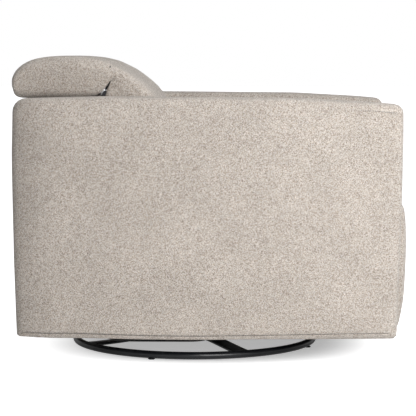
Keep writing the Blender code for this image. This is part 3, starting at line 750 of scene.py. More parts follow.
@dataclass(frozen=True)
class Panelled:
    """Upholstered slab: two broad panels joined by a border with rounded edges.

    Each panel is a Coons patch: the sum of the two blends between opposite sides less the
    blend between the corners. It bows out by a product of two flat-topped bells. Rings
    then run round the edge on a quarter circle and straight across the border.
    """

    radius: float
    bow_low: float
    bow_high: float
    border_bow: float = 0.0
    seam: float = 0.0
    along: int = 90
    up: int = 60
    arc_rings: int = 8
    border_rings: int = 12
    bell: float = 2.6

    @staticmethod
    def sides(outline: Array, along: int, up: int) -> list[Array]:
        """Cuts a closed outline at its four corners and samples each side evenly.

        Args:
            outline: (n, 2) closed line.
            along: points on each long side.
            up: points on each upright side.

        Returns:
            Sides in order round the outline: low, far, high and near.
        """
        middle = (outline.min(0) + outline.max(0)) / 2
        unit = (outline - middle) / (outline.max(0) - outline.min(0))
        marks = [int((unit @ np.array(way)).argmax()) for way in ((-1, -1), (1, -1), (1, 1), (-1, 1))]
        if (marks[1] - marks[0]) % len(outline) > len(outline) // 2:
            return Panelled.sides(outline[::-1], along, up)
        made = []
        for number, count in enumerate((along, up, along, up)):
            span = (marks[(number + 1) % 4] - marks[number]) % len(outline)
            part = np.roll(outline, -marks[number], 0)[: span + 1]
            length = np.concatenate([[0], np.cumsum(np.linalg.norm(np.diff(part, axis=0), axis=1))])
            steps = np.linspace(0, length[-1], count)
            made.append(np.stack([np.interp(steps, length, part[:, k]) for k in (0, 1)], 1))
        return made

    def patch(self, sides: list[Array], x: float, bow: float) -> Array:
        """One bowed panel as a grid of points.

        Args:
            sides: its four sides in order round.
            x: its plane.
            bow: how far its middle stands off that plane.

        Returns:
            Array (up, along, 3).
        """
        low, far, high, near = sides[0], sides[1], sides[2][::-1], sides[3][::-1]
        u, v = np.linspace(0, 1, self.along)[None, :, None], np.linspace(0, 1, self.up)[:, None, None]
        flat = (1 - v) * low[None] + v * high[None] + (1 - u) * near[:, None] + u * far[:, None]
        flat -= (1 - u) * (1 - v) * low[0] + u * (1 - v) * low[-1]
        flat -= u * v * high[-1] + (1 - u) * v * high[0]
        shape = (1 - np.abs(2 * u - 1) ** self.bell) * (1 - np.abs(2 * v - 1) ** self.bell)
        return np.concatenate([x + bow * np.broadcast_to(shape, flat[..., :1].shape), flat], -1)

    def build(
        self,
        name: str,
        outline: Array,
        x_low: float,
        x_high: float,
        order: tuple[int, int, int] = (0, 1, 2),
    ) -> bpy.types.Object:
        """Makes the mesh.

        Args:
            name: piece name.
            outline: (around, 2) border line, in (y, z) unless the order says otherwise.
            x_low: plane of the lower panel.
            x_high: plane of the upper panel.
            order: which of plane, first and second value goes to X, Y and Z.

        Returns:
            The new object.
        """
        sides = self.sides(outline, self.along, self.up)
        loop = np.vstack([side[:-1] for side in sides])
        tangent = np.roll(loop, -1, 0) - np.roll(loop, 1, 0)
        normal = np.stack([tangent[:, 1], -tangent[:, 0]], 1)
        normal /= np.maximum(np.linalg.norm(normal, axis=1), 1e-9)[:, None]
        inner = loop - normal * self.radius
        cuts = np.cumsum([0, self.along - 1, self.up - 1, self.along - 1])
        ends = np.append(cuts[1:], len(loop))
        wrapped = np.vstack([inner, inner[:1]])
        inner_sides = [wrapped[a : b + 1] for a, b in zip(cuts, ends)]
        turn = np.linspace(0, math.pi / 2, self.arc_rings + 1)
        dip = np.zeros(len(turn))
        dip[-2] = self.seam
        out = self.radius * np.sin(turn) - dip
        back = self.radius * (1 - np.cos(turn)) + dip
        share = np.linspace(0, 1, self.border_rings + 2)[1:-1]
        deep = np.concatenate([out, self.radius + self.border_bow * 4 * share * (1 - share), out[::-1]])
        width = x_high - x_low - 2 * self.radius
        plane = np.concatenate([x_low + back, x_low + self.radius + share * width, (x_high - back)[::-1]])
        yz = inner[None] + normal[None] * deep[:, None, None]
        rings = np.concatenate([np.broadcast_to(plane[:, None, None], yz[..., :1].shape), yz], -1)
        panels = [
            self.patch(inner_sides, x_low, -self.bow_low),
            self.patch(inner_sides, x_high, self.bow_high),
        ]
        points = np.vstack([rings.reshape(-1, 3)] + [panel.reshape(-1, 3) for panel in panels])
        faces = lattice(len(plane), len(loop), 0, True)
        size = self.up * self.along
        first = rings.shape[0] * rings.shape[1]
        for start in (first, first + size):
            faces += lattice(self.up, self.along, start)
        return finish_mesh(name, points[:, list(order)], faces)


def tube(name: str, path: Array, radius: float, sides: int = 20, closed: bool = True) -> bpy.types.Object:
    """Round tube along a path: at each point a circle in the plane across the path."""
    ahead = np.roll(path, -1, 0) - np.roll(path, 1, 0)
    if not closed:
        ahead[0], ahead[-1] = path[1] - path[0], path[-1] - path[-2]
    ahead /= np.linalg.norm(ahead, axis=1)[:, None]
    up = np.array([0.0, 0.0, 1.0])
    side = np.cross(ahead, up)
    small = np.linalg.norm(side, axis=1) < 1e-6
    side[small] = (1.0, 0.0, 0.0)
    side /= np.linalg.norm(side, axis=1)[:, None]
    over = np.cross(side, ahead)
    turn = np.linspace(0, 2 * math.pi, sides, endpoint=False)
    ring = side[:, None, :] * np.cos(turn)[None, :, None] + over[:, None, :] * np.sin(turn)[None, :, None]
    return ring_mesh(name, path[:, None, :] + radius * ring, caps=not closed)


def turned(name: str, profile: Array, centre: Sequence[float], steps: int = 72) -> bpy.types.Object:
    """Body of revolution: the profile (radius, height) turned about a vertical axis."""
    turn = np.linspace(0, 2 * math.pi, steps, endpoint=False)
    x = profile[:, 0][:, None] * np.cos(turn) + centre[0]
    y = profile[:, 0][:, None] * np.sin(turn) + centre[1]
    z = np.broadcast_to(profile[:, 1][:, None], x.shape)
    return ring_mesh(name, np.stack([x, y, z], -1))


# ---------------------------------------------------------------- soft goods


def stuff(
    item: bpy.types.Object, cap: float, pressure: float, voxel: float = 0.007, frames: int = 16
) -> None:
    """Lets a cushion fill out and wrinkle by a short cloth simulation, then keeps the result.

    Args:
        item: closed mesh object, replaced in place by its stuffed mesh.
        cap: furthest that a point may move, in metres.
        pressure: inner pressure.
        voxel: size of the even mesh that is simulated.
        frames: simulation steps.
    """
    scene = bpy.context.scene
    even = item.modifiers.new("even", "REMESH")
    even.mode, even.voxel_size = "VOXEL", voxel
    bake_modifiers(item)
    start = coordinates(item)
    cloth = item.modifiers.new("cloth", "CLOTH")
    settings = cloth.settings
    settings.use_pressure = True
    settings.uniform_pressure_force = pressure
    settings.quality = 5
    settings.mass = 0.3
    settings.tension_stiffness = settings.compression_stiffness = 22
    settings.shear_stiffness = 12
    settings.bending_stiffness = 6
    settings.effector_weights.gravity = 0
    cloth.collision_settings.use_collision = False
    cloth.point_cache.frame_start, cloth.point_cache.frame_end = 1, frames
    scene.frame_start, scene.frame_end = 1, frames
    for step in range(1, frames + 1):
        scene.frame_set(step)
    bake_modifiers(item)
    scene.frame_set(1)
    moved = coordinates(item) - start
    length = np.linalg.norm(moved, axis=1)
    share = np.minimum(1, cap / np.maximum(length, 1e-9))
    set_coordinates(item, start + moved * share[:, None])
    for face in item.data.polygons:
        face.use_smooth = True


def bake_modifiers(item: bpy.types.Object) -> None:
    """Applies the modifiers of an object to its mesh."""
    bpy.context.view_layer.update()
    graph = bpy.context.evaluated_depsgraph_get()
    mesh = bpy.data.meshes.new_from_object(item.evaluated_get(graph))
    old = item.data
    item.modifiers.clear()
    item.data = mesh
    mesh.name = item.name
    bpy.data.meshes.remove(old)


@dataclass
class Arms:
    """The two upholstered arms: broad side panels over a boxed border."""

    radius: float = 0.019
    bow_outside: float = 0.0050
    bow_inside: float = 0.002
    slack: float = 0.0005
    roll: float = 0.026
    roll_reach: float = 0.12
    tuck: float = 0.008
    tuck_reach: float = 0.055

    def outline(self) -> Array:
        """Border line of an arm, in (y, z), close about the box of its CAD node."""
        low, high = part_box("arm_cover_right")
        front, rear, top, bottom = low.y, high.y, high.z, low.z
        corners = (
            (front + 0.0100, bottom - 0.0010, 0.012),
            (-0.300, bottom - 0.0038, 1.0),
            (-0.120, bottom - 0.0086, 1.0),
            (0.020, bottom - 0.0112, 1.0),
            (0.160, bottom - 0.0098, 1.0),
            (0.320, bottom - 0.0052, 1.0),
            (rear - 0.0045, bottom - 0.0056, 0.010),
            (rear + 0.0018, 0.260, 0.9),
            (rear + 0.0050, 0.520, 0.6),
            (rear + 0.0020, top - 0.0048, 0.031),
            (0.250, top, 1.2),
            (0.100, top - 0.0014, 1.2),
            (-0.223, top - 0.0043, 0.8),
            (-0.400, top - 0.0140, 0.4),
            (front - 0.0022, top - 0.0200, 0.018),
            (front - 0.0032, 0.555, 0.7),
            (front - 0.0012, 0.410, 0.7),
        )
        return rounded_outline(corners, 900)

    def build(self) -> None:
        """Makes both arms."""
        for side in Side:
            low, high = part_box(f"arm_cover_{side.word}")
            right = side is Side.RIGHT
            bows = (self.bow_outside, self.bow_inside) if right else (self.bow_inside, self.bow_outside)
            shape = Panelled(self.radius, *bows, border_bow=0.0015, seam=0.0007)
            name = f"arm_upholstery_{side.word}"
            item = shape.build(name, self.outline(), low.x + bows[0] * 0.4, high.x - bows[1] * 0.4)
            self.roll_off(item, side)
            self.hollow(item, low, high)
            displace(item, lambda p, n: ripple(p, 2.6, 1.0 + side.sign) * self.slack)
            dress(item, Slot.TWEED, "chair", f"arm_cover_{side.word}")

    def roll_off(self, item: bpy.types.Object, side: Side) -> None:
        """Eases the outer panel inwards towards its rear and its lower edge.

        Each shift is its depth times (1 - distance from the edge over its reach) to the
        power 2.2, full at the outer panel and none at the middle of the arm.
        """
        low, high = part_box(f"arm_cover_{side.word}")
        points = coordinates(item)
        rear = np.clip(1 - (high.y - points[:, 1]) / self.roll_reach, 0, 1.1) ** 2.2
        under = np.clip(1 - (points[:, 2] - low.z + 0.008) / self.tuck_reach, 0, 1) ** 2.2
        outward = side.sign * (points[:, 0] - (low.x + high.x) / 2) / ((high.x - low.x) / 2)
        points[:, 0] -= side.sign * (self.roll * rear + self.tuck * under) * np.clip(outward, 0, 1)
        set_coordinates(item, points)

    @staticmethod
    def hollow(item: bpy.types.Object, low: Vector, high: Vector) -> None:
        """Lifts the middle of the underside level, so that only its edges hang down.

        The lift grows from none at 9 mm inside the edge to all of it at 25 mm.
        """
        points = coordinates(item)
        inside = (high.x - low.x) / 2 - np.abs(points[:, 0] - (low.x + high.x) / 2)
        share = np.clip((inside - 0.009) / 0.016, 0, 1)
        points[:, 2] += share * np.maximum(low.z + 0.0012 - points[:, 2], 0)
        set_coordinates(item, points)


@dataclass
class Back:
    """Front cushion of the back in one skin with the folded headrest, the core and the shell."""

    half_width: float = 0.2735
    stations: int = 250
    core_top: float = 0.6380

    def lines(self) -> tuple[Array, Array, Array, Array]:
        """Outer line, inner line and corner radii from the headrest's rear end to the seat.

        Returns:
            Two arrays of (y, z) and two of radii.
        """
        stops = (
            ((0.4876, 0.6850), (0.4876, 0.6845), 0.016, 0.016),
            ((0.4858, 0.6990), (0.4858, 0.6710), 0.020, 0.018),
            ((0.4780, 0.7145), (0.4802, 0.6560), 0.024, 0.020),
            ((0.4615, 0.7300), (0.4685, 0.6492), 0.028, 0.022),
            ((0.4370, 0.7420), (0.4430, 0.6474), 0.030, 0.022),
            ((0.4055, 0.7488), (0.4080, 0.6478), 0.031, 0.022),
            ((0.3700, 0.7512), (0.3720, 0.6478), 0.031, 0.022),
            ((0.3400, 0.7512), (0.3450, 0.6480), 0.031, 0.021),
            ((0.3190, 0.7502), (0.3230, 0.6484), 0.031, 0.020),
            ((0.2970, 0.7478), (0.3010, 0.6496), 0.031, 0.018),
            ((0.2751, 0.7433), (0.2790, 0.6535), 0.031, 0.014),
            ((0.2532, 0.7370), (0.2620, 0.6630), 0.031, 0.009),
            ((0.2313, 0.7268), (0.2500, 0.6790), 0.031, 0.006),
            ((0.2094, 0.7157), (0.2425, 0.6895), 0.032, 0.004),
            ((0.1874, 0.7013), (0.2465, 0.6785), 0.033, 0.006),
            ((0.1655, 0.6844), (0.2545, 0.6630), 0.035, 0.010),
            ((0.1470, 0.6672), (0.2610, 0.6450), 0.036, 0.016),
            ((0.1320, 0.6500), (0.2645, 0.6270), 0.037, 0.018),
            ((0.1180, 0.6270), (0.2660, 0.6060), 0.038, 0.018),
            ((0.1080, 0.6000), (0.2660, 0.5820), 0.038, 0.018),
            ((0.1050, 0.5740), (0.2660, 0.5580), 0.038, 0.018),
            ((0.1060, 0.5480), (0.2660, 0.5330), 0.038, 0.018),
            ((0.1120, 0.5240), (0.2660, 0.5080), 0.036, 0.018),
            ((0.1240, 0.5100), (0.2660, 0.4860), 0.032, 0.018),
            ((0.1420, 0.5050), (0.2655, 0.4650), 0.026, 0.018),
            ((0.1600, 0.4920), (0.2600, 0.4450), 0.020, 0.016),
            ((0.1665, 0.4660), (0.2400, 0.4330), 0.016, 0.014),
            ((0.1820, 0.4400), (0.2100, 0.4330), 0.014, 0.012),
            ((0.1950, 0.4350), (0.1960, 0.4345), 0.012, 0.010),
        )
        rows = np.array([(*outer, *inner, *radii) for outer, inner, *radii in stops])
        fine = smooth_line(rows, self.stations)
        return fine[:, :2], fine[:, 2:4], fine[:, 4], fine[:, 5]

    def build(self) -> None:
        """Makes the pieces of the back."""
        outer, inner, radii, inner_radii = self.lines()
        shape = Cushioned(self.half_width, 0.034, 0.0006, 0.0, 0.0022, across=60, corner=8, wall=24)
        skin = shape.build("back_and_headrest_skin", outer, inner, radii, inner_radii)
        displace(skin, self.creases)
        skin.data.materials.append(MATERIALS[Slot.TWEED])
        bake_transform(skin)
        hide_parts("back_cushion", "headrest_cushion")
        LOG.info("%s: %d faces", skin.name, len(skin.data.polygons))
        self.core()
        self.shell()

    def creases(self, points: Array, ways: Array) -> Array:
        """Gathers at the ends of the fold below the headrest, and a slight slackness all over.

        Wrinkles fan out from the top of the fold: waves in the angle about it, which fade
        with distance from it and only lie on the end walls.
        """
        dy, dz = points[:, 1] - 0.2425, points[:, 2] - 0.6895
        away = np.hypot(dy, dz)
        angle = np.arctan2(dz, dy)
        wall = np.clip(np.abs(ways[:, 0]), 0, 1) ** 2
        fade = np.exp(-((away - 0.026) ** 2) / 0.0009) * wall * (dy < 0.02)
        fan = 0.0005 * np.sin(angle * 7.0 + 0.6) * fade
        tuck = -0.0020 * np.exp(-(away**2) / 0.00008) * wall
        pleat = -0.0058 * self.groove(points, (0.1900, 0.6780), (0.1690, 0.6490), 0.0042) * wall
        dimple = -0.0060 * self.groove(points, (0.2205, 0.7000), (0.2185, 0.6980), 0.0042) * wall
        return fan + tuck + pleat + dimple + 0.0007 * ripple(points, 5.0, 2.0)

    @staticmethod
    def groove(points: Array, start: Sequence[float], end: Sequence[float], width: float) -> Array:
        """Bell-shaped furrow along a straight line in the (y, z) plane, 1 on the line.

        Args:
            points: positions, rows of three.
            start: one end of the line.
            end: its other end.
            width: distance at which the furrow has fallen to a third.

        Returns:
            One value for each row.
        """
        a, b = np.array(start), np.array(end)
        share = np.clip((points[:, 1:] - a) @ (b - a) / ((b - a) @ (b - a)), 0, 1)
        gap = np.linalg.norm(points[:, 1:] - a - share[:, None] * (b - a), axis=1)
        return np.exp(-((gap / width) ** 2)) * (0.35 + 0.65 * np.sin(math.pi * np.clip(share, 0.04, 0.96)))

    def core(self) -> None:
        """Padded block behind the front cushion, under the headrest."""
        rear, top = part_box("back_cushion")[1].y, self.core_top
        corners = ((0.2685, 0.425, 0.02), (rear, 0.402, 0.02), (rear, top, 0.018), (0.2690, top, 0.014))
        outline = rounded_outline(corners, 120)
        shape = Panelled(0.014, 0.0, 0.0, along=24, up=30, arc_rings=5, border_rings=50)
        item = shape.build("back_core_pad", outline, -self.half_width + 0.002, self.half_width - 0.002)
        displace(item, lambda p, n: ripple(p, 5.0, 3.0) * 0.0006)
        dress(item, Slot.TWEED, "back", "back_cushion")

    def shell(self) -> None:
        """Upholstered outside of the back, with its rounded heel."""
        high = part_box("back_shell")[1]
        hinge = np.array([0.200, 0.300])
        outer_r, inner_r = high.y - hinge[0], high.y - hinge[0] - 0.0235
        fall = np.radians(np.linspace(0, -20.0, 8))
        straight = np.linspace(high.z, hinge[1], 26)[:-1]
        ends = np.clip(np.minimum((high.z - straight) / 0.016, 1), 0, 1)
        half = 0.01175 * np.sqrt(1 - (1 - ends) ** 2)
        crown = 0.0016 * np.sin(np.pi * (straight - hinge[1]) / (high.z - hinge[1]))
        middle = high.y - 0.01175
        outer = np.column_stack([middle + half + crown, straight])
        inner = np.column_stack([middle - half, straight])
        arc = np.column_stack([np.cos(fall), np.sin(fall)])
        shut = np.clip((len(fall) - 1 - np.arange(len(fall))) / 2.2, 0, 1)
        bend = (outer_r - inner_r) / 2 * np.sqrt(1 - (1 - shut) ** 2)[:, None]
        centre = (outer_r + inner_r) / 2
        outer = np.vstack([outer, hinge + arc * (centre + bend)])
        inner = np.vstack([inner, hinge + arc * (centre - bend)])
        shape = Cushioned(0.2755, 0.0115, 0.0022, 0.0, across=48)
        item = shape.build("back_outside_panel", outer, inner)
        displace(item, lambda p, n: ripple(p, 2.4, 4.0) * 0.0007)
        dress(item, Slot.TWEED, "back", "back_shell")


@dataclass
class SeatAndFront:
    """Seat cushion, footrest pad with its wrapped board, and the fixed lower rear panel."""

    half_width: float = 0.2765
    panel_half: float = 0.2795
    lip: float = 0.0065
    clear: float = 0.0145

    def seat(self) -> None:
        """Boxed seat cushion with a crowned top."""
        low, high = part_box("seat_cushion")
        front, rear, bottom, top = low.y, high.y, low.z, high.z
        corners = (
            (front, (bottom + top) / 2, 0.4),
            (front + 0.001, top - 0.010, 0.036),
            (-0.16, top + 0.001, 1.0),
            (rear, top - 0.006, 0.020),
            (rear, bottom, 0.014),
            (front + 0.004, bottom, 0.024),
        )
        outer, inner = split_outline(rounded_outline(corners, 420), 150)
        shape = Cushioned(self.half_width - 0.001, 0.020, 0.004, 0.0, 0.0008, across=72, corner=6)
        item = shape.build("seat_cushion_cover", outer, inner)
        stuff(item, 0.004, 2.0, 0.0075)
        displace(item, lambda p, n: ripple(p, 4.0, 5.0) * 0.0009 * np.clip(n[:, 2] + 0.3, 0, 1))
        dress(item, Slot.TWEED, "chair", "seat_cushion")

    def footrest(self) -> None:
        """Bulged pad on the footrest board."""
        low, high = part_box("footrest_pad")
        front, rear, bottom, top = low.y, high.y, low.z, high.z
        outer_stops = (
            (rear, top - 0.004),
            (rear - 0.012, top),
            (front + 0.020, top - 0.001),
            (front + 0.006, top - 0.010),
            (front + 0.0010, top - 0.030),
            (front - 0.0018, top - 0.070),
            (front - 0.0026, 0.270),
            (front - 0.0010, 0.205),
            (front + 0.0030, 0.150),
            (front + 0.0115, 0.100),
            (front + 0.0160, bottom + 0.016),
            (front + 0.0210, bottom + 0.004),
            (front + 0.0290, bottom),
            (rear - 0.006, bottom + 0.001),
            (rear, bottom + 0.005),
        )
        outer = smooth_line(outer_stops, 150)
        level = np.clip(outer[:, 1], bottom + 0.005, top - 0.004)
        inner = np.column_stack([np.full(len(outer), rear), level])
        shape = Cushioned(self.half_width, 0.018, 0.0022, 0.0, 0.0, across=72, corner=6)
        item = shape.build("footrest_cover", outer, inner)
        stuff(item, 0.003, 1.5, 0.0065)
        displace(item, lambda p, n: ripple(p, 4.0, 6.0) * 0.0007 * np.clip(-n[:, 1], 0, 1))
        dress(item, Slot.TWEED, "foot_panel", "footrest_pad")

    def footrest_back(self) -> None:
        """Cloth drawn over the rear and the edges of the footrest board."""
        low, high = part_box("footrest_board")
        corners = (
            (low.x, low.z, 0.006),
            (high.x, low.z, 0.006),
            (high.x, high.z, 0.006),
            (low.x, high.z, 0.006),
        )
        shape = Panelled(0.0022, 0.0, 0.0006, along=60, up=34, arc_rings=5, border_rings=4)
        item = shape.build("footrest_back_cloth", rounded_outline(corners, 400), low.y, high.y, (1, 0, 2))
        dress(item, Slot.BLACK_CLOTH, "foot_panel", "footrest_board")

    def rear_panel(self) -> None:
        """Padded lower rear panel between the arms."""
        low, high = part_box("rear_apron")
        inner_y, rear, bottom, top = low.y, high.y, low.z, high.z
        corners = (
            (inner_y, bottom, 0.004),
            (rear - 0.004, bottom, 0.009),
            (rear, (bottom + top) / 2, 0.3),
            (rear + 0.0005, top + self.lip, 0.004),
            (rear - 0.0070, top + self.lip, 0.003),
            (inner_y, top - self.clear, 0.004),
        )
        shape = Panelled(0.004, 0.0, 0.0, 0.0008, along=8, up=24, arc_rings=4, border_rings=60)
        outline = rounded_outline(corners, 160)
        item = shape.build("rear_lower_panel", outline, -self.panel_half, self.panel_half)
        displace(item, lambda p, n: ripple(p, 3.0, 7.0) * 0.0006 * np.clip(n[:, 1], 0, 1))
        dress(item, Slot.TWEED, "chair", "rear_apron")

    def build(self) -> None:
        """Makes the pieces."""
        self.seat()
        self.footrest()
        self.footrest_back()
        self.rear_panel()


def split_outline(outline: Array, count: int) -> tuple[Array, Array]:
    """Upper and lower halves of a closed outline, cut at its first and last points in y.

    Args:
        outline: (n, 2) closed line in (y, z).
        count: samples on each half.

    Returns:
        Upper and lower lines from the lowest y to the highest.
    """
    first, last = int(outline[:, 0].argmin()), int(outline[:, 0].argmax())
    rolled = np.roll(outline, -first, 0)
    cut = (last - first) % len(outline)
    halves = [rolled[: cut + 1], np.vstack([rolled[cut:], rolled[:1]])[::-1]]
    halves.sort(key=lambda half: -half[:, 1].mean())
    made = []
    for half in halves:
        length = np.concatenate([[0], np.cumsum(np.linalg.norm(np.diff(half, axis=0), axis=1))])
        steps = np.linspace(0, length[-1], count)
        made.append(np.stack([np.interp(steps, length, half[:, k]) for k in (0, 1)], 1))
    return made[0], made[1]


# ---------------------------------------------------------------- hardware


@dataclass
class FloorRing:
    """Round tube ring with its cross, hub, glides and weld beads."""

    turn: float = 26.5
    weld: float = 0.0042
    glide_share: float = 0.62
    bolt_circle: float = 0.068

    def ring(self) -> tuple[np.ndarray, float, float]:
        """Centre, radius and tube radius from the CAD ring."""
        low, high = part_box("base_ring")
        tube_r = (high.z - low.z) / 2
        centre = np.array([(low.x + high.x) / 2, (low.y + high.y) / 2, (low.z + high.z) / 2])
        return centre, (high.x - low.x) / 2 - tube_r, tube_r

    def build(self) -> None:
        """Makes the fixed base."""
        centre, radius, tube_r = self.ring()
        turn = np.linspace(0, 2 * math.pi, 220, endpoint=False)
        path = centre + np.column_stack([radius * np.cos(turn), radius * np.sin(turn), 0 * turn])
        dress(tube("floor_ring", path, tube_r, 28), Slot.BLACK_STEEL, "base", "base_ring")
        for number in range(4):
            angle = math.radians(180 + self.turn + 90 * number)
            self.spoke(number + 1, angle, centre, radius - tube_r)
        self.hub(centre)
        for number in range(1, 5):
            self.glide(number)

    def spoke(self, number: int, angle: float, centre: Array, reach: float) -> None:
        """Flat bar with rounded edges and a weld bead where it meets the ring.

        The section is a rounded rectangle carried along a line that rises to the hub.
        """
        hub_low, hub_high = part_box("hub_plate")
        inner = (hub_high.x - hub_low.x) / 2 - 0.004
        rise = (hub_low.z + hub_high.z) / 2 - centre[2]
        along = np.linspace(reach + 0.003, inner, 30)
        share = np.clip((reach - along) / (reach - inner), 0, 1)
        half_w, half_t, r = 0.021, 0.003, 0.0016
        quarter = np.linspace(0, math.pi / 2, 5)
        cx = np.concatenate([half_w - r + r * np.cos(quarter), -(half_w - r) - r * np.sin(quarter)])
        cz = np.concatenate([half_t - r + r * np.sin(quarter), half_t - r + r * np.cos(quarter)])
        cx, cz = np.concatenate([cx, -cx]), np.concatenate([cz, -cz])
        way = np.array([math.cos(angle), math.sin(angle)])
        side = np.array([-math.sin(angle), math.cos(angle)])
        lift = centre[2] + rise * (share * share * (3 - 2 * share)) * 0.999
        flat = centre[:2] + along[:, None, None] * way + cx[None, :, None] * side
        rings = np.concatenate([flat, (lift[:, None] + cz[None, :])[..., None]], -1)
        item = ring_mesh(f"cross_bar_{number}", rings)
        dress(item, Slot.BLACK_STEEL, "base", f"spoke_{number}")
        turn = np.linspace(-1, 1, 26)
        start = reach * way + turn[:, None] * half_w * side
        start *= (reach / np.linalg.norm(start, axis=1))[:, None]
        bead = np.column_stack([centre[:2] + start * 0.998, np.full(26, centre[2] + half_t * 0.8)])
        ring = tube(f"weld_bead_{number}", bead, self.weld / 2, 10, closed=False)
        displace(ring, lambda p, n: 0.0004 * np.sin(p @ np.array([*side, 0]) * 1500))
        dress(ring, Slot.BLACK_STEEL, "base")

    def hub(self, centre: Array) -> None:
        """Hub plate with an eased rim and four bolt heads."""
        low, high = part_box("hub_plate")
        r, top, bottom, ease = (high.x - low.x) / 2, high.z, low.z, 0.0018
        a = np.linspace(0, math.pi / 2, 6)
        rim_top = np.column_stack([r - ease + ease * np.sin(a), top - ease + ease * np.cos(a)])
        rim_low = np.column_stack([r - ease + ease * np.cos(a), bottom + ease - ease * np.sin(a)])
        upper, lower = [(0.001, top), (r * 0.5, top)], [(r * 0.5, bottom), (0.001, bottom)]
        profile = np.vstack([upper, rim_top, rim_low, lower])
        dress(turned("hub_disc", profile, centre), Slot.BLACK_STEEL, "base", "hub_plate")
        head = np.array(
            [
                (0.0005, bottom - 0.0035),
                (0.0050, bottom - 0.0035),
                (0.0064, bottom - 0.0022),
                (0.0064, bottom - 0.0002),
                (0.0005, bottom - 0.0002),
            ]
        )
        for number in range(4):
            angle = math.radians(self.turn + 45 + 90 * number)
            spot = centre[:2] + self.bolt_circle * np.array([math.cos(angle), math.sin(angle)])
            dress(turned(f"hub_bolt_{number + 1}", head, spot, 6), Slot.ZINC_STEEL, "base")

    def glide(self, number: int) -> None:
        """Small domed nylon glide under the ring."""
        low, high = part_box(f"floor_pad_{number}")
        centre = (low + high) / 2
        r = (high.x - low.x) / 2 * self.glide_share
        profile = np.array(
            [
                (0.0005, high.z + 0.0012),
                (r * 0.8, high.z + 0.0010),
                (r, high.z - 0.0004),
                (r, 0.0006),
                (r - 0.0006, 0.0),
                (0.0005, 0.0),
            ]
        )
        item = turned(f"floor_glide_{number}", profile, centre, 40)
        dress(item, Slot.NYLON, "base", f"floor_pad_{number}")


@dataclass
class Ratchets:
    """Toothed wheel and cover plate of the headrest hinge, seen at the bottom of the fold."""

    teeth: int = 9
    radius: float = 0.0108
    width: float = 0.0022
    wheel_at: tuple[float, float] = (0.2600, 0.6625)
    plate_at: tuple[float, float] = (0.2560, 0.6590)

    def build(self) -> None:
        """Makes a wheel and a plate at each end of the fold."""
        for side in Side:
            self.wheel(side)
            self.plate(side)

    def wheel(self, side: Side) -> None:
        """Saw-toothed wheel: its rim falls in a straight line from each tooth to the next."""
        turn = np.linspace(0, 2 * math.pi, self.teeth * 10, endpoint=False)
        saw = (turn * self.teeth / (2 * math.pi) + 0.35) % 1
        reach = self.radius * (0.56 + 0.44 * np.abs(2 * saw - 1))
        ring = np.column_stack([0 * turn, reach * np.cos(turn), reach * np.sin(turn)])
        shrink = np.array([0.30, 0.93, 1.0, 1.0, 0.93, 0.30])
        depth = np.array([0.0, 0.0, 0.12, 0.88, 1.0, 1.0]) * self.width
        rings = ring[None] * shrink[:, None, None]
        rings[..., 0] += side.sign * (0.2662 + depth[:, None])
        rings[..., 1] += self.wheel_at[0]
        rings[..., 2] += self.wheel_at[1]
        dress(ring_mesh(f"ratchet_wheel_{side.word}", rings), Slot.ZINC_STEEL, "back")

    def plate(self, side: Side) -> None:
        """Black plate with eased edges over the front of the wheel."""
        y, z = self.plate_at
        corners = (
            (y - 0.0068, z - 0.0075, 0.003),
            (y + 0.0085, z - 0.0080, 0.003),
            (y + 0.0050, z + 0.0015, 0.002),
            (y - 0.0010, z + 0.0085, 0.003),
            (y - 0.0052, z + 0.0060, 0.003),
        )
        shape = Panelled(0.0005, 0.0, 0.0, along=24, up=16, arc_rings=3, border_rings=2)
        low, high = sorted((side.sign * 0.2686, side.sign * 0.2702))
        item = shape.build(f"ratchet_plate_{side.word}", rounded_outline(corners, 160), low, high)
        dress(item, Slot.BLACK_STEEL, "back")


@dataclass
class DustCovers:
    """Black cloth tacked under the arms, sagging slightly between its edges."""

    inset: float = 0.016
    sag: float = 0.0022
    slack: float = 0.0095

    def build(self) -> None:
        """Makes both covers."""
        for side in Side:
            low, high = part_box(f"dust_cover_{side.word}")
            x0, x1 = low.x + self.inset * (side is Side.RIGHT), high.x - self.inset * (side is Side.LEFT)
            y0, y1 = low.y + self.inset, high.y - self.inset
            corners = ((x0, y0, 0.012), (x1, y0, 0.012), (x1, y1, 0.012), (x0, y1, 0.012))
            shape = Panelled(0.0004, self.sag, 0.0, along=30, up=110, arc_rings=3, border_rings=1)
            name = f"dust_cloth_{side.word}"
            outline = rounded_outline(corners, 500)
            item = shape.build(name, outline, low.z + 0.0011, high.z + 0.0002, (1, 2, 0))
            self.hang(item, x0 if side is Side.RIGHT else x1)
            dress(item, Slot.BLACK_CLOTH, "chair", f"dust_cover_{side.word}")
            LOG.info("%s: flat %.3f by %.3f m", name, x1 - x0, y1 - y0)

    def hang(self, item: bpy.types.Object, edge: float) -> None:
        """Lets the cloth hang loose at one stretch of its outer edge.

        The drop is a bell along Y times a falling line across X, full at the edge.
        """
        points = coordinates(item)
        along = 1 / (1 + np.exp((np.abs(points[:, 1] - 0.115) - 0.115) / 0.010))
        across = np.clip(1 - np.abs(points[:, 0] - edge) / 0.10, 0, 1)
        points[:, 2] -= self.slack * along * across
        set_coordinates(item, points)


@dataclass
class ReleaseLever:
    """Finger lever and its bezel on the inner face of the right arm."""

    def build(self) -> None:
        """Makes the bezel frame and the scooped lever."""
        for node, name, body, scoop in (
            ("release_bezel", "release_bezel_plate", "chair", 0.0),
            ("release_lever", "release_lever_blade", "release", 0.0016),
        ):
            low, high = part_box(node)
            corners = (
                (low.y, low.z, 0.009),
                (high.y, low.z, 0.009),
                (high.y, high.z, 0.009),
                (low.y, high.z, 0.009),
            )
            shape = Panelled(0.0015, 0.0, -scoop, along=40, up=20, arc_rings=4, border_rings=2)
            item = shape.build(name, rounded_outline(corners, 96), low.x, high.x)
            dress(item, Slot.NYLON, body, node)


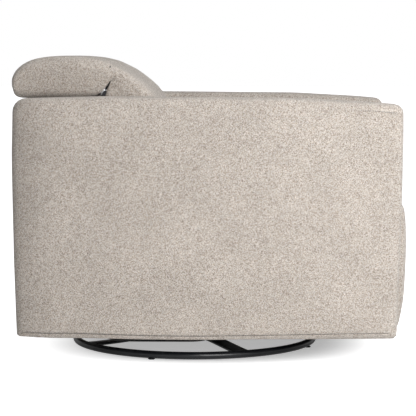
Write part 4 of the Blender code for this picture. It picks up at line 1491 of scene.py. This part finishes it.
def dress_frame() -> None:
    """Gives every CAD node that stays on show the finish of its slot."""
    slots = {row["node"]: row["material_slot"] for row in frame["record"]["subparts"]}
    for name, node in frame["nodes"].items():
        made = MATERIALS[Slot(slots[name])]
        node.data.materials.clear()
        node.data.materials.append(made)
    LOG.info("frame: %d nodes dressed", len(frame["nodes"]))


# ---------------------------------------------------------------- studio


@dataclass(frozen=True)
class Studio:
    """Pale floor, soft lights and the camera."""

    eye: tuple[float, float, float] = (-4.72, -0.104, 0.749)
    aim: tuple[float, float, float] = (-0.42, -0.003, 0.388)
    lens: float = 155.8
    floor_size: float = 80.0
    sky: float = 0.28
    backdrop: float = 1.0
    # glow of the floor under the chair, kept low so that it forms a painted shadow
    shadow_glow_under: float = 0.42
    glow_far: float = 1.0
    bounce: float = 0.12

    def build(self) -> None:
        """Makes the studio."""
        self.floor()
        self.world()
        self.light("side_key", (-2.2, -0.8, 1.0), (-0.2, -0.05, 0.35), 1.2, 37.0)
        self.light("front_key", (-1.5, -1.5, 1.0), (-0.2, -0.05, 0.35), 1.0, 11.5)
        self.light("overhead", (-0.4, -0.5, 2.3), (-0.2, -0.05, 0.35), 1.2, 19.0)
        bpy.context.scene.view_settings.view_transform = "Standard"
        camera = bpy.data.cameras.new("camera")
        camera.lens, camera.sensor_width, camera.clip_end = self.lens, 36.0, 100.0
        item = bpy.data.objects.new("camera", camera)
        self.point(item, self.eye, self.aim)
        bpy.context.scene.camera = item

    @staticmethod
    def point(item: bpy.types.Object, at: Sequence[float], aim: Sequence[float]) -> None:
        """Places an object and turns it to a point."""
        bpy.context.scene.collection.objects.link(item)
        way = Vector(aim) - Vector(at)
        item.matrix_world = Matrix.Translation(at) @ way.to_track_quat("-Z", "Y").to_matrix().to_4x4()

    def light(self, name: str, at: Sequence[float], aim: Sequence[float], size: float, power: float) -> None:
        """Square area light that is not itself seen."""
        lamp = bpy.data.lights.new(name, "AREA")
        lamp.energy, lamp.size = power, size
        item = bpy.data.objects.new(name, lamp)
        item.visible_camera = False
        self.point(item, at, aim)

    def floor(self) -> None:
        """Plain pale floor.

        Its own glow paints a soft shadow on it: the glow is dim under the chair and
        rises to full white around it; it lights other things only by the smaller bounce value.
        """
        half = self.floor_size / 2
        mesh = bpy.data.meshes.new("floor")
        corners = [(-half, -half, 0), (half, -half, 0), (half, half, 0), (-half, half, 0)]
        mesh.from_pydata(corners, [], [(0, 1, 2, 3)])
        item = bpy.data.objects.new("floor", mesh)
        bpy.context.scene.collection.objects.link(item)
        made, graph, shader = start_material("Pale floor", Roughness=0.9)
        shader.inputs["Base Color"].default_value = (0.80, 0.80, 0.80, 1.0)
        shader.inputs["Emission Color"].default_value = (1.0, 1.0, 1.0, 1.0)
        shader.inputs["Specular IOR Level"].default_value = 0.1
        place = graph.add("TexCoord").outputs["Object"]
        away = graph.add("VectorMath", {0: place}, operation="LENGTH").outputs["Value"]
        # painted shadow: the glow seen by the camera is dim within 0.28 m of the centre and full white
        # beyond 0.47 m
        glow = graph.remap(away, 0.28, 0.47, self.shadow_glow_under, self.glow_far)
        seen = graph.add("LightPath").outputs["Is Camera Ray"]
        extra = graph.math("MULTIPLY", graph.math("SUBTRACT", glow, self.bounce), seen)
        graph.tree.links.new(graph.math("ADD", extra, self.bounce), shader.inputs["Emission Strength"])
        item.data.materials.append(made)

    def world(self) -> None:
        """Even white surroundings: one brightness to look at, a softer one as light."""
        world = bpy.data.worlds.new("studio")
        world.use_nodes = True
        graph = Graph(world.node_tree)
        seen = graph.add("LightPath").outputs["Is Camera Ray"]
        rest = graph.math("SUBTRACT", 1.0, seen)
        shown = graph.math("MULTIPLY", seen, self.backdrop)
        strength = graph.math("ADD", shown, graph.math("MULTIPLY", rest, self.sky))
        surround = world.node_tree.nodes["Background"]
        surround.inputs[0].default_value = (1.0, 1.0, 1.0, 1.0)
        world.node_tree.links.new(strength, surround.inputs[1])
        bpy.context.scene.world = world


def main() -> None:
    """Builds every sub-assembly, then the studio."""
    logging.basicConfig(level=logging.INFO, format="%(name)s: %(message)s")
    for slot, finish in FINISHES.items():
        MATERIALS[slot] = finish.build()
    dress_frame()
    Arms().build()
    Back().build()
    SeatAndFront().build()
    FloorRing().build()
    Ratchets().build()
    DustCovers().build()
    ReleaseLever().build()
    Studio().build()


if __name__ == "__main__":
    main()
